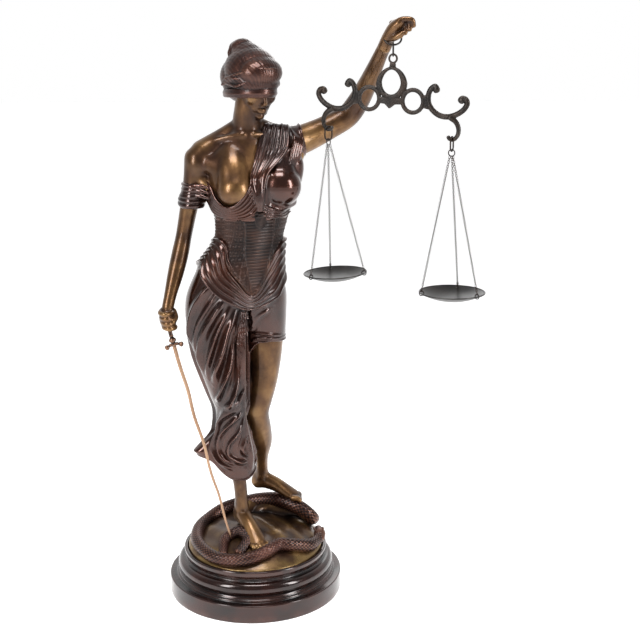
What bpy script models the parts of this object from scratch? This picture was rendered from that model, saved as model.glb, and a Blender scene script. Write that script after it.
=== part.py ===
# Lady justice: a cast bronze figure on a turned plinth, with a sword and a hanging balance.
# Metres, +Z up. The origin is the centre of the plinth's underside and the figure looks towards -Y.

import math

import bmesh
import bpy
import numpy as np
from mathutils import Matrix, Vector

# Plinth
PLINTH_RADIUS = 0.183
FOOT_HEIGHT = 0.0375
BULGE_RADIUS = 0.165
WAIST_RADIUS = 0.152
LIP_RADIUS = 0.1505
LIP_WIDTH = 0.006
PLINTH_HEIGHT = 0.096
SEAT_DEPTH = 0.014
EDGE_ROUND = 0.0015
PLINTH_SIDES = 32

# Figure: its pose is drawn for this height above the seat and scaled to the height wanted
FIGURE_HEIGHT = 1.070
DRAWN_HEIGHT = 1.070
DRAWN_SEAT = 0.082
FIGURE_VOXEL = 0.0031
FIGURE_SMOOTHING = 1
FIGURE_SHARE_KEPT = 0.0200
BODY_VOXEL = 0.0040
BODY_SMOOTHING = 9
DETAIL_VOXEL = 0.0020
DETAIL_SMOOTHING = 3
TOUCH_GAP = 0.0003
FIT_GAP = 0.0005
HANG_GAP = 0.0008

CORE = 0.006             # a shell never shrinks nearer to its own axis

# Sword
BLADE_WIDTH = 0.0078
BLADE_THICKNESS = 0.0032
BLADE_WAVES = 3
BLADE_TAPER = 0.45        # how much the blade narrows towards the point, as a share
BLADE_WAVE_SIZE = 0.0014
GUARD_RADIUS = 0.0036
GUARD_HALF_SPAN = 0.0150
BULB_RADIUS = 0.0072
GRIP_RADIUS = 0.0042
GRIP_LENGTH = 0.050

# Balance
HAND_RING_RADIUS = 0.0165
HAND_RING_WIRE = 0.0018
LINK_WIRE = 0.0011
LINK_WIDTH = 0.0125
LINK_LENGTH = 0.0270
BEAM_THICKNESS = 0.0060
BEAM_TURN = math.radians(-28)
BEAM_TILT = math.radians(2.6)
BEAM_REACH = 0.151
DRAWN_REACH = 0.151      # the reach that the points of scroll and hook are drawn for
EYE_RADIUS = 0.0098
EYE_HOLE = 0.0058
EYE_THICKNESS = 0.0028
CENTRE_RING_WIDTH = 0.0315
CENTRE_RING_TOP = 0.0150
CENTRE_RING_FOOT = 0.0760
CENTRE_HOLE_WIDTH = 0.0192
SIDE_RING_RADIUS = 0.0245
SIDE_RING_HOLE = 0.0165
SIDE_RING_OUT = 0.0445
SIDE_RING_DROP = 0.0765
SCROLL_STROKE = 0.0054
HOOK_STROKE = 0.0036
STROKE_SHARE = 0.54    # half depth of a scroll's bar as a share of the beam's thickness
KNOB_SHARE = 0.30
RING_NARROWING = 0.12    # how much the middle ring narrows at its top, as a share
HOOK_KNOB_SHARE = 0.05
KNOB_END = 0.80          # how far round the knob's end is drawn, as a share
HOOK_RING_WIRE = 0.0015
HOOK_RING_WIDTH = 0.0200
HOOK_RING_LENGTH = 0.0300
CHAIN_RING_RADIUS = 0.0062
CHAIN_RING_WIRE = 0.0011
CHAIN_RADIUS = 0.0013
CHAIN_BEADS = 3
PAN_RADIUS = 0.0635
PAN_DEPTH = 0.0155
PAN_WALL = 0.0024
LEFT_PAN_DROP = 0.262      # from the chain ring down to the rim, and how far the pan hangs to the side
RIGHT_PAN_DROP = 0.268
LEFT_PAN_SWAY = 0.014
RIGHT_PAN_SWAY = 0.008
PAN_SIDES = 18
LUG_INSET = 0.0048
LUG_HOLE = 0.0021
CLASP_RADIUS = 0.0046
CLASP_OUT = 0.0031       # from the hole's middle to the clasp's, outwards and up
CLASP_RISE = 0.0012
CLASP_WIRE = 0.0010

# Finishes: colour, roughness and metallic share
FINISHES = {
    "plinth": ((0.035, 0.016, 0.012), 0.25, 0.6),
    "bronze": ((0.150, 0.075, 0.035), 0.30, 0.9),
    "blade": ((0.560, 0.330, 0.190), 0.35, 1.0),
    "iron": ((0.055, 0.050, 0.045), 0.50, 0.9),
    "chain": ((0.120, 0.085, 0.070), 0.40, 0.9),
    "pan": ((0.045, 0.042, 0.040), 0.38, 0.9),
}


def clear_scene():
    for obj in list(bpy.data.objects):
        bpy.data.objects.remove(obj, do_unlink=True)


def finish(name):
    material = bpy.data.materials.get(name) or bpy.data.materials.new(name)
    colour, roughness, metallic = FINISHES[name]
    material.use_nodes = True
    shader = material.node_tree.nodes["Principled BSDF"]
    shader.inputs["Base Color"].default_value = (*colour, 1.0)
    shader.inputs["Roughness"].default_value = roughness
    shader.inputs["Metallic"].default_value = metallic
    return material


def add_object(name, bm, material, smooth=True, merge=0.00001):
    bmesh.ops.remove_doubles(bm, verts=bm.verts, dist=merge)
    mesh = bpy.data.meshes.new(name)
    bm.to_mesh(mesh)
    bm.free()
    mesh.materials.append(finish(material))
    if smooth:
        mesh.shade_smooth()
        mesh.set_sharp_from_angle(angle=math.radians(40))
    obj = bpy.data.objects.new(name, mesh)
    bpy.context.collection.objects.link(obj)
    return obj


def make_cutter(obj):
    obj.hide_render = True
    obj.display_type = "WIRE"
    return obj


def cut(target, cutter, operation="DIFFERENCE"):
    boolean = target.modifiers.new(cutter.name, "BOOLEAN")
    boolean.operation = operation
    boolean.solver = "EXACT"
    boolean.object = make_cutter(cutter)


# Curves and swept sections


def smooth_route(points, steps=8):
    """A Catmull-Rom curve through the points, with as many steps between each pair."""
    p = np.array(points, float)
    padded = np.vstack([2 * p[0] - p[1], p, 2 * p[-1] - p[-2]])
    out = []
    for i in range(len(p) - 1):
        a, b, c, d = padded[i:i + 4]
        for k in range(steps):
            t = k / steps
            out.append(0.5 * ((2 * b) + (c - a) * t + (2 * a - 5 * b + 4 * c - d) * t ** 2
                              + (3 * b - a - 3 * c + d) * t ** 3))
    out.append(p[-1])
    return np.array(out)


def add_rings(bm, rings, closed_route=False):
    """Skin a list of closed rings of points, with flat ends unless the route closes on itself."""
    layers = [[bm.verts.new(p) for p in ring] for ring in rings]
    count = len(layers[0])
    spans = len(layers) if closed_route else len(layers) - 1
    for i in range(spans):
        low, high = layers[i], layers[(i + 1) % len(layers)]
        for k in range(count):
            bm.faces.new((low[k], low[(k + 1) % count], high[(k + 1) % count], high[k]))
    if not closed_route:
        bm.faces.new(layers[0][::-1])
        bm.faces.new(layers[-1])
    return layers


def route_frames(route, up=(0, 0, 1)):
    """Side and up directions square to a route at each of its points."""
    tangents = np.gradient(route, axis=0)
    tangents /= np.linalg.norm(tangents, axis=1)[:, None]
    frames = []
    guide = np.array(up, float)
    for t in tangents:
        side = np.cross(t, guide)
        if np.linalg.norm(side) < 1e-3:
            side = np.cross(t, (1, 0, 0))
        side /= np.linalg.norm(side)
        guide = np.cross(side, t)
        frames.append((side, guide))
    return frames


def add_limb(bm, stations, sides=14, steps=5, up=(0, 1, 0), rounding=True):
    """A rounded limb through stations of (x, y, z, half width, half depth)."""
    route = smooth_route(stations, steps)
    frames = route_frames(route[:, :3], up)
    rings = []
    for row, (side, guide) in zip(route, frames):
        angle = np.linspace(0, 2 * math.pi, sides, endpoint=False)
        rings.append(row[:3] + np.outer(np.cos(angle), side) * row[3]
                     + np.outer(np.sin(angle), guide) * row[4])
    if rounding:
        rings = round_ends(rings)
    add_rings(bm, rings)


def round_ends(rings):
    """Close a swept form with two shrinking rings at each end."""
    lead = rings[0].mean(0) - rings[1].mean(0)
    tail = rings[-1].mean(0) - rings[-2].mean(0)
    shares = (0.92, 0.55)
    start = [cap_ring(rings[0], lead, share) for share in shares]
    end = [cap_ring(rings[-1], tail, share) for share in shares[::-1]]
    return start + list(rings) + end


def cap_ring(ring, direction, share):
    centre = ring.mean(0)
    spread = ring - centre
    size = np.linalg.norm(spread, axis=1).mean()
    direction = direction / max(np.linalg.norm(direction), 1e-9)
    return centre + spread * math.sqrt(1 - share ** 2) + direction * size * share * 0.8


def add_ball(bm, centre, radii, axes=None, segments=18):
    """A stretched ball; axes are its three directions as rows."""
    made = bmesh.ops.create_uvsphere(bm, u_segments=segments, v_segments=segments * 2 // 3, radius=1.0)
    turn = Matrix.Identity(3) if axes is None else Matrix(axes).transposed()
    for v in made["verts"]:
        stretched = Vector((v.co.x * radii[0], v.co.y * radii[1], v.co.z * radii[2]))
        v.co = turn @ stretched + Vector(centre)


def ring_mesh(bm, centre, normal, radius, wire, segments=24, sides=8, stretch=1.0, long_axis=(0, 0, 1)):
    """A round wire ring, or a long one with round ends when it is stretched along its long axis."""
    normal = np.array(normal, float)
    normal /= np.linalg.norm(normal)
    tall = np.array(long_axis, float)
    tall -= normal * (tall @ normal)
    tall /= np.linalg.norm(tall)
    wide = np.cross(tall, normal)
    rings = []
    for i in range(segments):
        a = 2 * math.pi * i / segments
        outward = wide * math.cos(a) + tall * math.sin(a)
        straight = radius * (stretch - 1) * np.sign(round(math.sin(a), 6))
        middle = np.array(centre) + wide * math.cos(a) * radius + tall * (math.sin(a) * radius + straight)
        ring = []
        for k in range(sides):
            b = 2 * math.pi * k / sides
            ring.append(middle + outward * math.cos(b) * wire + normal * math.sin(b) * wire)
        rings.append(np.array(ring))
    add_rings(bm, rings, closed_route=True)
    bmesh.ops.recalc_face_normals(bm, faces=bm.faces)


def lathe(bm, profile, sides, closed_profile=False):
    """Turn a profile of (radius, height) about the Z axis."""
    rings = []
    for radius, height in profile:
        angle = np.linspace(0, 2 * math.pi, sides, endpoint=False)
        rings.append(np.stack([radius * np.cos(angle), radius * np.sin(angle),
                               np.full(sides, height)], axis=1))
    add_rings(bm, rings, closed_route=closed_profile)
    bmesh.ops.recalc_face_normals(bm, faces=bm.faces)


def merge_softly(bm, forms, voxel, rounds):
    """Draw forms, melt them into one skin, soften it and add it to bm."""
    part = bmesh.new()
    for form in forms:
        form(part)
    bmesh.ops.recalc_face_normals(part, faces=part.faces)
    mesh = bpy.data.meshes.new("soft")
    part.to_mesh(mesh)
    part.free()
    obj = bpy.data.objects.new("soft", mesh)
    bpy.context.collection.objects.link(obj)
    melt(obj, voxel, rounds)
    depsgraph = bpy.context.evaluated_depsgraph_get()
    skin = bpy.data.meshes.new_from_object(obj.evaluated_get(depsgraph))
    bm.from_mesh(skin)
    bpy.data.objects.remove(obj, do_unlink=True)
    bpy.data.meshes.remove(skin)


def melt(obj, voxel, rounds):
    remesh = obj.modifiers.new("skin", "REMESH")
    remesh.mode = "VOXEL"
    remesh.voxel_size = voxel
    remesh.use_smooth_shade = True
    smooth = obj.modifiers.new("soften", "SMOOTH")
    smooth.factor = 0.5
    smooth.iterations = rounds


# The figure's own space


def scale():
    return FIGURE_HEIGHT / DRAWN_HEIGHT


def seat_height():
    return PLINTH_HEIGHT - SEAT_DEPTH


def place(points):
    """Drawn points to the place of the figure as built."""
    p = np.array(points, float)
    p = p - np.array((0, 0, DRAWN_SEAT))
    return p * scale() + np.array((0, 0, seat_height()))


BODY_TURN = math.radians(22)
ACROSS = np.array((math.cos(BODY_TURN), math.sin(BODY_TURN), 0))
AHEAD = np.array((math.sin(BODY_TURN), -math.cos(BODY_TURN), 0))




class Shell:
    """A closed form with oval level sections, and folds laid on it by angle and height."""

    def __init__(self, stations):
        self.stations = np.array(stations, float)
        self.order = np.argsort(self.stations[:, 0])
        self.z = self.stations[self.order, 0]

    def section(self, z):
        rows = self.stations[self.order]
        return [smooth_value(z, self.z, rows[:, k]) for k in range(1, 5)]

    def surface(self, angle, z, lift=0.0):
        """Angle 0 is straight ahead of the body and grows towards her left."""
        cx, cy, wide, deep = self.section(z)
        a = np.asarray(angle, float)
        wide, deep = np.maximum(wide + lift, CORE), np.maximum(deep + lift, CORE)
        radial = (np.sin(a)[..., None] * ACROSS * wide[..., None]
                  + np.cos(a)[..., None] * AHEAD * deep[..., None])
        centre = np.stack([cx, cy, np.asarray(z, float)], axis=-1)
        return centre + radial

    def add(self, bm, low, high, lift, turns=72, levels=40):
        z = np.linspace(low, high, levels)
        a = np.linspace(0, 2 * math.pi, turns, endpoint=False)
        grid_z, grid_a = np.meshgrid(z, a, indexing="ij")
        wrapped = (grid_a + math.pi) % (2 * math.pi) - math.pi
        points = self.surface(grid_a, grid_z, lift(wrapped, grid_z))
        add_rings(bm, list(points))


def smooth_value(x, xs, ys):
    """A smooth curve through (xs, ys), without overshoot."""
    x = np.asarray(x, float)
    i = np.clip(np.searchsorted(xs, x) - 1, 0, len(xs) - 2)
    slope = np.gradient(ys, xs)
    span = xs[i + 1] - xs[i]
    t = np.clip((x - xs[i]) / span, 0, 1)
    return (ys[i] * (1 + 2 * t) * (1 - t) ** 2 + slope[i] * span * t * (1 - t) ** 2
            + ys[i + 1] * t ** 2 * (3 - 2 * t) - slope[i + 1] * span * t ** 2 * (1 - t))


def fold_lift(angle, z, folds, reach=0.085):
    """Height of a set of folds, each (points of (degrees, z), width, height), at an angle and height."""
    total = np.zeros_like(z)
    for points, width, height in folds:
        route = smooth_route([(math.radians(a) * reach, h) for a, h in points], 4)
        near = np.full(z.shape, 1e9)
        along = np.zeros(z.shape)
        flat_a = angle * reach
        for k in range(len(route) - 1):
            p, q = route[k], route[k + 1]
            d = q - p
            t = np.clip(((flat_a - p[0]) * d[0] + (z - p[1]) * d[1]) / max(d @ d, 1e-12), 0, 1)
            away = np.hypot(flat_a - p[0] - t * d[0], z - p[1] - t * d[1])
            closer = away < near
            along = np.where(closer, (k + t) / (len(route) - 1), along)
            near = np.minimum(near, away)
        taper = np.clip(np.minimum(along, 1 - along) * 5, 0.12, 1)
        u = near / width
        total += height * taper * (1.25 * np.exp(-u ** 2 * 1.6) - 0.25 * np.exp(-(u - 1.5) ** 2 * 2.2))
    return total


# Body forms, in the drawn space

TORSO = Shell([
    (0.560, -0.030, 0.000, 0.092, 0.062), (0.610, -0.032, 0.000, 0.098, 0.068),
    (0.660, -0.030, -0.002, 0.097, 0.066), (0.710, -0.024, -0.005, 0.086, 0.058),
    (0.755, -0.006, -0.006, 0.069, 0.047), (0.805, 0.002, -0.008, 0.073, 0.050),
    (0.850, 0.002, -0.006, 0.080, 0.054), (0.890, 0.001, 0.000, 0.084, 0.050),
    (0.925, 0.000, 0.006, 0.080, 0.040), (0.950, -0.002, 0.008, 0.054, 0.033),
    (0.972, -0.004, 0.006, 0.034, 0.029)])

HIPS = Shell([
    (0.480, -0.030, 0.000, 0.080, 0.058), (0.560, -0.030, 0.000, 0.092, 0.066),
    (0.600, -0.031, 0.000, 0.099, 0.071), (0.650, -0.031, -0.001, 0.101, 0.072),
    (0.690, -0.028, -0.002, 0.094, 0.067), (0.720, -0.018, -0.004, 0.082, 0.058),
    (0.750, -0.007, -0.006, 0.072, 0.051), (0.775, -0.002, -0.007, 0.073, 0.051)])

GOWN = Shell([
    (0.238, -0.028, -0.016, 0.034, 0.036), (0.250, -0.032, -0.016, 0.038, 0.039),
    (0.272, -0.038, -0.017, 0.043, 0.043), (0.300, -0.045, -0.019, 0.045, 0.044),
    (0.335, -0.048, -0.026, 0.039, 0.042), (0.370, -0.047, -0.033, 0.032, 0.041),
    (0.405, -0.047, -0.036, 0.030, 0.043), (0.440, -0.053, -0.034, 0.036, 0.048),
    (0.520, -0.066, -0.022, 0.052, 0.058), (0.580, -0.072, -0.012, 0.062, 0.064),
    (0.640, -0.060, -0.006, 0.074, 0.068), (0.700, -0.040, -0.004, 0.070, 0.060)])

KILT = Shell([
    (0.528, 0.019, 0.008, 0.0480, 0.048), (0.545, 0.019, 0.008, 0.0485, 0.050),
    (0.600, 0.016, 0.008, 0.0540, 0.058), (0.650, 0.005, 0.006, 0.0650, 0.065),
    (0.690, -0.010, 0.000, 0.0700, 0.062)])

# Folds: routes of (degrees round the body, height), then width and height of the fold
GOWN_FOLDS = (
    [([(-43, 0.683), (-60, 0.641), (-78, 0.589), (-92, 0.540)], 0.0085, 0.0068),
     ([(-16, 0.652), (-30, 0.610), (-60, 0.548), (-88, 0.490)], 0.0085, 0.0080),
     ([(-2, 0.638), (-12, 0.590), (-34, 0.536), (-68, 0.480)], 0.0070, 0.0070),
     ([(8, 0.625), (0, 0.566), (-16, 0.515), (-54, 0.458)], 0.0080, 0.0095),
     ([(24, 0.618), (18, 0.545), (8, 0.480), (-18, 0.436), (-50, 0.420)], 0.0070, 0.0085),
     ([(42, 0.610), (41, 0.530), (36, 0.460), (20, 0.412)], 0.0060, 0.0075),
     ([(60, 0.600), (62, 0.520), (60, 0.440), (52, 0.390)], 0.0060, 0.0070),
     ([(16, 0.432), (-36, 0.412), (-74, 0.390), (-84, 0.338), (-58, 0.300), (-14, 0.284)], 0.0072, 0.0066),
     ([(26, 0.412), (-20, 0.386), (-52, 0.356), (-50, 0.322), (-20, 0.300), (10, 0.290)], 0.0070, 0.0062),
     ([(40, 0.406), (14, 0.362), (-6, 0.332), (12, 0.308), (30, 0.300)], 0.0066, 0.0064),
     ([(56, 0.390), (50, 0.345), (46, 0.310), (52, 0.282)], 0.0066, 0.0080)]
    + [([(a, 0.60), (a + 7, 0.50), (a - 5, 0.40), (a + 6, 0.33), (a - 4, 0.290)], 0.0085, 0.0066)
       for a in (94, 118, 142, 166, -170, -146, -122)])
KILT_FOLDS = (
    [([(-52 + 3 * k, 0.572 + 0.020 * k), (-28, 0.604 + 0.016 * k), (4 * k, 0.624 + 0.018 * k)], 0.0060,
      0.0044)
     for k in range(2)]
    + [([(a, 0.640), (a + 5, 0.580), (a, 0.552)], 0.0075, 0.0046) for a in (112, 140, 168, -164, -138)])
KILT_HEM = [(-180, 0.545), (-75, 0.522), (-50, 0.529), (-40, 0.541), (-11, 0.549), (35, 0.546), (90, 0.545),
            (180, 0.545)]

SWAG_LOW = [(-180, 0.668), (-140, 0.694), (-110, 0.712), (-89, 0.716), (-60, 0.684), (-39, 0.657),
            (-23, 0.638),
            (-8, 0.626), (8, 0.627), (27, 0.638), (49, 0.656), (75, 0.676), (100, 0.686), (140, 0.680),
            (180, 0.668)]
SWAG_FOLD = 0.0062
SWAG_FOLD_COUNT = 4
CORSET_LOW = [(-180, 0.750), (-110, 0.754), (-87, 0.758), (-53, 0.750), (-35, 0.720), (-16, 0.687),
              (1, 0.657),
              (12, 0.672), (22, 0.704), (47, 0.741), (68, 0.750), (120, 0.750), (180, 0.750)]


def edge_height(points, angle):
    xs = np.array([math.radians(a) for a, h in points])
    ys = np.array([h for a, h in points])
    return smooth_value(angle, xs, ys)


def swag_lift(angle, z):
    """The cloth round the hips: hanging folds between a swinging edge and the corset's border."""
    low, top = edge_height(SWAG_LOW, angle), edge_height(CORSET_LOW, angle)
    above, gap = z - low, top - low
    drift = 0.20 * np.sin(2.1 * angle + 1.0)
    wave = 0.5 + 0.5 * np.cos(2 * math.pi * (above / gap * SWAG_FOLD_COUNT - 0.25 + drift))
    full = 0.0042 + SWAG_FOLD * np.clip(gap / 0.065, 0.45, 1.15) * wave
    full = full - 0.024 * np.clip(-above / 0.006, 0, 1)
    return full - 0.020 * np.clip((z - top - 0.004) / 0.006, 0, 1)


def corset_lift(angle, z):
    """The ribbed bodice: close rings over a pointed lower edge, with a cord along it."""
    above = z - edge_height(CORSET_LOW, angle)
    ribs = 0.0013 * np.cos((z - 0.69) * 2 * math.pi / 0.0156)
    belt = 0.0022 * np.exp(-((z - 0.812) / 0.0045) ** 2)
    cord = 0.0026 * np.exp(-(above / 0.0034) ** 2)
    point = 0.0085 * np.clip((0.745 - z) / 0.055, 0, 1) * np.exp(-(angle / 0.80) ** 2)
    full = 0.0034 + ribs + belt + cord + point
    return np.where(above > -0.003, full, full - 0.016 * np.clip((-above - 0.003) / 0.005, 0, 1))


BODICE_HIGH = [(-180, 0.902), (-145, 0.895), (-115, 0.880), (-95, 0.866), (-74, 0.839), (-50, 0.827),
               (-32, 0.838),
               (-16, 0.870), (-4, 0.915), (3, 0.935), (20, 0.958), (45, 0.975), (75, 0.975), (110, 0.962),
               (150, 0.928), (180, 0.902)]


def bodice_lift(angle, z):
    """The upper gown over her left shoulder, breast and back, with a rolled edge."""
    below = edge_height(BODICE_HIGH, angle) - z
    fans = 0.0016 * np.cos(9 * angle + 30 * (z - 0.88)) * np.clip(below / 0.03, 0, 1)
    edge = 0.0026 * np.exp(-(below / 0.0045) ** 2)
    full = 0.0042 + fans + edge
    return np.where(below > -0.001, full, full - 0.022 * np.clip((-below - 0.001) / 0.006, 0, 1))


HEM = [(-180, 0.290), (-140, 0.300), (-110, 0.306), (-91, 0.300), (-70, 0.281), (-43, 0.262), (-20, 0.258),
       (8, 0.258), (32, 0.266), (60, 0.276), (90, 0.282), (120, 0.284), (180, 0.290)]


def gown_lift(angle, z):
    """Folds and the flying corner of the long gown, cut off along its slanting hem."""
    above = z - edge_height(HEM, angle)
    full = fold_lift(angle, z, GOWN_FOLDS, 0.055) + flare(angle, z)
    return full - 0.045 * np.clip(-above / 0.006, 0, 1)


def flare(angle, z):
    """The flying corner of the hem on her right."""
    off = ((angle + math.radians(104) + math.pi) % (2 * math.pi) - math.pi) / math.radians(17)
    return 0.036 * np.exp(-off ** 2) * np.exp(-((z - 0.319) / 0.023) ** 2)


def kilt_lift(angle, z):
    """The short skirt on her left thigh, smooth, with a thick hem."""
    above = z - edge_height(KILT_HEM, angle)
    hem = 0.0030 * np.exp(-((above - 0.004) / 0.004) ** 2)
    return fold_lift(angle, z, KILT_FOLDS, 0.05) + hem - 0.030 * np.clip(-above / 0.005, 0, 1)


def add_torso(bm):
    TORSO.add(bm, 0.660, 0.972, lambda a, z: np.zeros_like(z), turns=40, levels=36)
    add_limb(bm, [(-0.003, 0.010, 0.945, 0.034, 0.032), (-0.005, 0.004, 0.985, 0.0290, 0.029),
                  (0.000, -0.003, 1.020, 0.0285, 0.030), (0.004, -0.004, 1.050, 0.029, 0.031)])
    add_limb(bm, [(-0.006, 0.014, 0.984, 0.020, 0.020), (-0.050, 0.012, 0.955, 0.024, 0.022),
                  (-0.092, 0.004, 0.926, 0.030, 0.028)], up=(0, 0, 1))
    add_limb(bm, [(0.002, 0.014, 0.984, 0.020, 0.020), (0.046, 0.016, 0.960, 0.026, 0.024),
                  (0.090, 0.018, 0.945, 0.032, 0.031)], up=(0, 0, 1))
    # Collar bones meeting at the pit of the neck
    add_limb(bm, [(-0.010, -0.029, 0.966, 0.0050, 0.0050), (-0.045, -0.022, 0.961, 0.0058, 0.0050),
                  (-0.088, -0.006, 0.948, 0.0052, 0.0050)])
    add_limb(bm, [(0.006, -0.027, 0.967, 0.0050, 0.0050), (0.040, -0.010, 0.966, 0.0058, 0.0050)])
    # Breasts and the muscle over them
    for centre, size in (((-0.029, -0.050, 0.861), 1.0), ((0.058, -0.026, 0.864), 1.02)):
        add_ball(bm, centre, (0.0375 * size, 0.0355 * size, 0.0375 * size))
    add_limb(bm, [(-0.094, -0.006, 0.915, 0.020, 0.018), (-0.058, -0.032, 0.900, 0.023, 0.016),
                  (-0.030, -0.052, 0.878, 0.027, 0.020)])
    add_limb(bm, [(-0.036, -0.018, 0.940, 0.020, 0.012), (-0.034, -0.040, 0.908, 0.028, 0.018),
                  (-0.030, -0.050, 0.872, 0.034, 0.028)])
    add_limb(bm, [(-0.106, 0.004, 0.888, 0.018, 0.022), (-0.084, -0.002, 0.862, 0.020, 0.028),
                  (-0.070, -0.006, 0.838, 0.016, 0.028)])
    add_limb(bm, [(0.090, 0.004, 0.925, 0.020, 0.018), (0.074, -0.010, 0.900, 0.023, 0.018),
                  (0.058, -0.022, 0.880, 0.024, 0.018)])
    # Shoulder blades and the line of the back
    for x, y in ((-0.056, 0.022), (0.036, 0.050)):
        add_ball(bm, (x, y, 0.905), (0.026, 0.016, 0.036))


LEFT_ARM = [(0.088, 0.016, 0.946, 0.031, 0.031), (0.120, 0.026, 0.957, 0.0275, 0.0285),
            (0.160, 0.036, 0.975, 0.0250, 0.0255), (0.196, 0.042, 0.995, 0.0235, 0.0240),
            (0.215, 0.034, 1.020, 0.0225, 0.0225), (0.230, 0.012, 1.052, 0.0200, 0.0200),
            (0.243, -0.018, 1.088, 0.0160, 0.0165), (0.254, -0.047, 1.120, 0.0125, 0.0140),
            (0.260, -0.060, 1.134, 0.0120, 0.0140)]


def add_arms(bm):
    add_limb(bm, LEFT_ARM, up=(0, 0, 1), steps=6)
    add_ball(bm, (-0.103, -0.001, 0.908), (0.026, 0.029, 0.036))
    add_limb(bm, [(-0.104, 0.000, 0.918, 0.026, 0.027), (-0.112, 0.002, 0.870, 0.0215, 0.024),
                  (-0.124, 0.004, 0.815, 0.0180, 0.021), (-0.135, 0.004, 0.762, 0.0165, 0.019),
                  (-0.142, -0.004, 0.730, 0.0175, 0.0195), (-0.152, -0.018, 0.690, 0.0165, 0.0175),
                  (-0.163, -0.032, 0.648, 0.0130, 0.0145), (-0.169, -0.040, 0.622, 0.0125, 0.0140)])


def add_hands(bm):
    # The fist round the grip
    add_ball(bm, (-0.1705, -0.043, 0.603), (0.0155, 0.0180, 0.0215))
    for k in range(4):
        z = 0.6165 - 0.0098 * k
        x = -0.170 + 0.0022 * k
        add_limb(bm, [(x - 0.0105, -0.036, z + 0.002, 0.0050, 0.0050),
                      (x - 0.0125, -0.054, z, 0.0052, 0.0052),
                      (x - 0.0020, -0.0655, z - 0.001, 0.0050, 0.0050),
                      (x + 0.0085, -0.058, z - 0.001, 0.0048, 0.0048),
                      (x + 0.0100, -0.048, z, 0.0045, 0.0045)], sides=10, up=(0, 0, 1))
    add_limb(bm, [(-0.158, -0.036, 0.616, 0.0070, 0.0070), (-0.153, -0.049, 0.606, 0.0060, 0.0060),
                  (-0.158, -0.062, 0.599, 0.0052, 0.0052)], sides=10, up=(0, 0, 1))

    # The raised hand bends over at the wrist and its fingers curl under
    add_limb(bm, [(0.258, -0.057, 1.130, 0.0125, 0.0135), (0.265, -0.067, 1.148, 0.0150, 0.0130),
                  (0.275, -0.078, 1.166, 0.0175, 0.0130), (0.285, -0.086, 1.176, 0.0170, 0.0105)],
             up=(-0.5, 0.1, 0.8))
    tips = ((0.3085, -0.0990, 1.1690), (0.3010, -0.0985, 1.1620), (0.2930, -0.0970, 1.1555),
            (0.2850, -0.0945, 1.1500))
    for k, tip in enumerate(tips):
        knuckle = np.array((0.289 - 0.0030 * k, -0.0965 + 0.0082 * k, 1.1815 - 0.0012 * k))
        bend = (knuckle + np.array(tip)) / 2 + np.array((0.0055, -0.0030 + 0.0016 * k, 0.0050))
        root = knuckle + np.array((-0.010, 0.004, -0.004))
        add_limb(bm, [(*root, 0.0062, 0.0060), (*knuckle, 0.0058, 0.0056), (*bend, 0.0052, 0.0050),
                      (*tip, 0.0044, 0.0042)], sides=10, up=(0, 1, 0))
    add_limb(bm, [(0.264, -0.074, 1.146, 0.0075, 0.0072), (0.276, -0.088, 1.149, 0.0066, 0.0064),
                  (0.287, -0.096, 1.156, 0.0052, 0.0050)], sides=10)


def add_legs(bm):
    # Her right leg carries the weight, and shows below the gown
    add_limb(bm, [(-0.050, -0.040, 0.400, 0.024, 0.026), (-0.042, -0.028, 0.320, 0.023, 0.026),
                  (-0.033, -0.018, 0.255, 0.0155, 0.0175), (-0.029, -0.018, 0.215, 0.0140, 0.0165),
                  (-0.028, -0.016, 0.180, 0.0160, 0.0190)])
    # Her left leg, bare from the thigh, is bent and set back on the serpent's coil
    add_limb(bm, [(0.020, 0.014, 0.600, 0.040, 0.043), (0.023, 0.010, 0.540, 0.0400, 0.0430),
                  (0.021, 0.002, 0.470, 0.0320, 0.0350), (0.013, -0.004, 0.425, 0.0280, 0.0300),
                  (0.006, -0.003, 0.390, 0.0262, 0.0275), (0.009, 0.016, 0.350, 0.0275, 0.0290),
                  (0.014, 0.036, 0.312, 0.0250, 0.0265), (0.015, 0.054, 0.272, 0.0160, 0.0185),
                  (0.016, 0.066, 0.242, 0.0135, 0.0165), (0.016, 0.072, 0.222, 0.0150, 0.0190)], steps=4)
    add_ball(bm, (0.002, -0.023, 0.398), (0.0165, 0.0100, 0.0200))


def add_feet(bm):
    add_limb(bm, [(-0.028, -0.016, 0.200, 0.0145, 0.0170), (-0.032, 0.000, 0.158, 0.0150, 0.0160),
                  (-0.026, -0.018, 0.164, 0.0160, 0.0190), (-0.014, -0.046, 0.156, 0.0165, 0.0165),
                  (-0.002, -0.072, 0.141, 0.0185, 0.0115), (0.005, -0.088, 0.1325, 0.0185, 0.0085)],
                  up=(0, 0, 1))
    add_limb(bm, [(0.016, 0.072, 0.228, 0.0140, 0.0165), (0.006, 0.078, 0.202, 0.0145, 0.0145),
                  (0.020, 0.071, 0.208, 0.0160, 0.0185), (0.044, 0.064, 0.201, 0.0165, 0.0160),
                  (0.070, 0.058, 0.1865, 0.0185, 0.0115), (0.087, 0.053, 0.178, 0.0185, 0.0082)],
                  up=(0, 0, 1))


def add_all_toes(bm):
    add_toes(bm, (0.0075, -0.0925, 0.1300), (0.40, -0.91, -0.14), (0.915, 0.400, 0), 1)
    add_toes(bm, (0.0895, 0.0525, 0.1765), (0.955, -0.270, -0.12), (0.270, 0.963, 0), -1)


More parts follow.
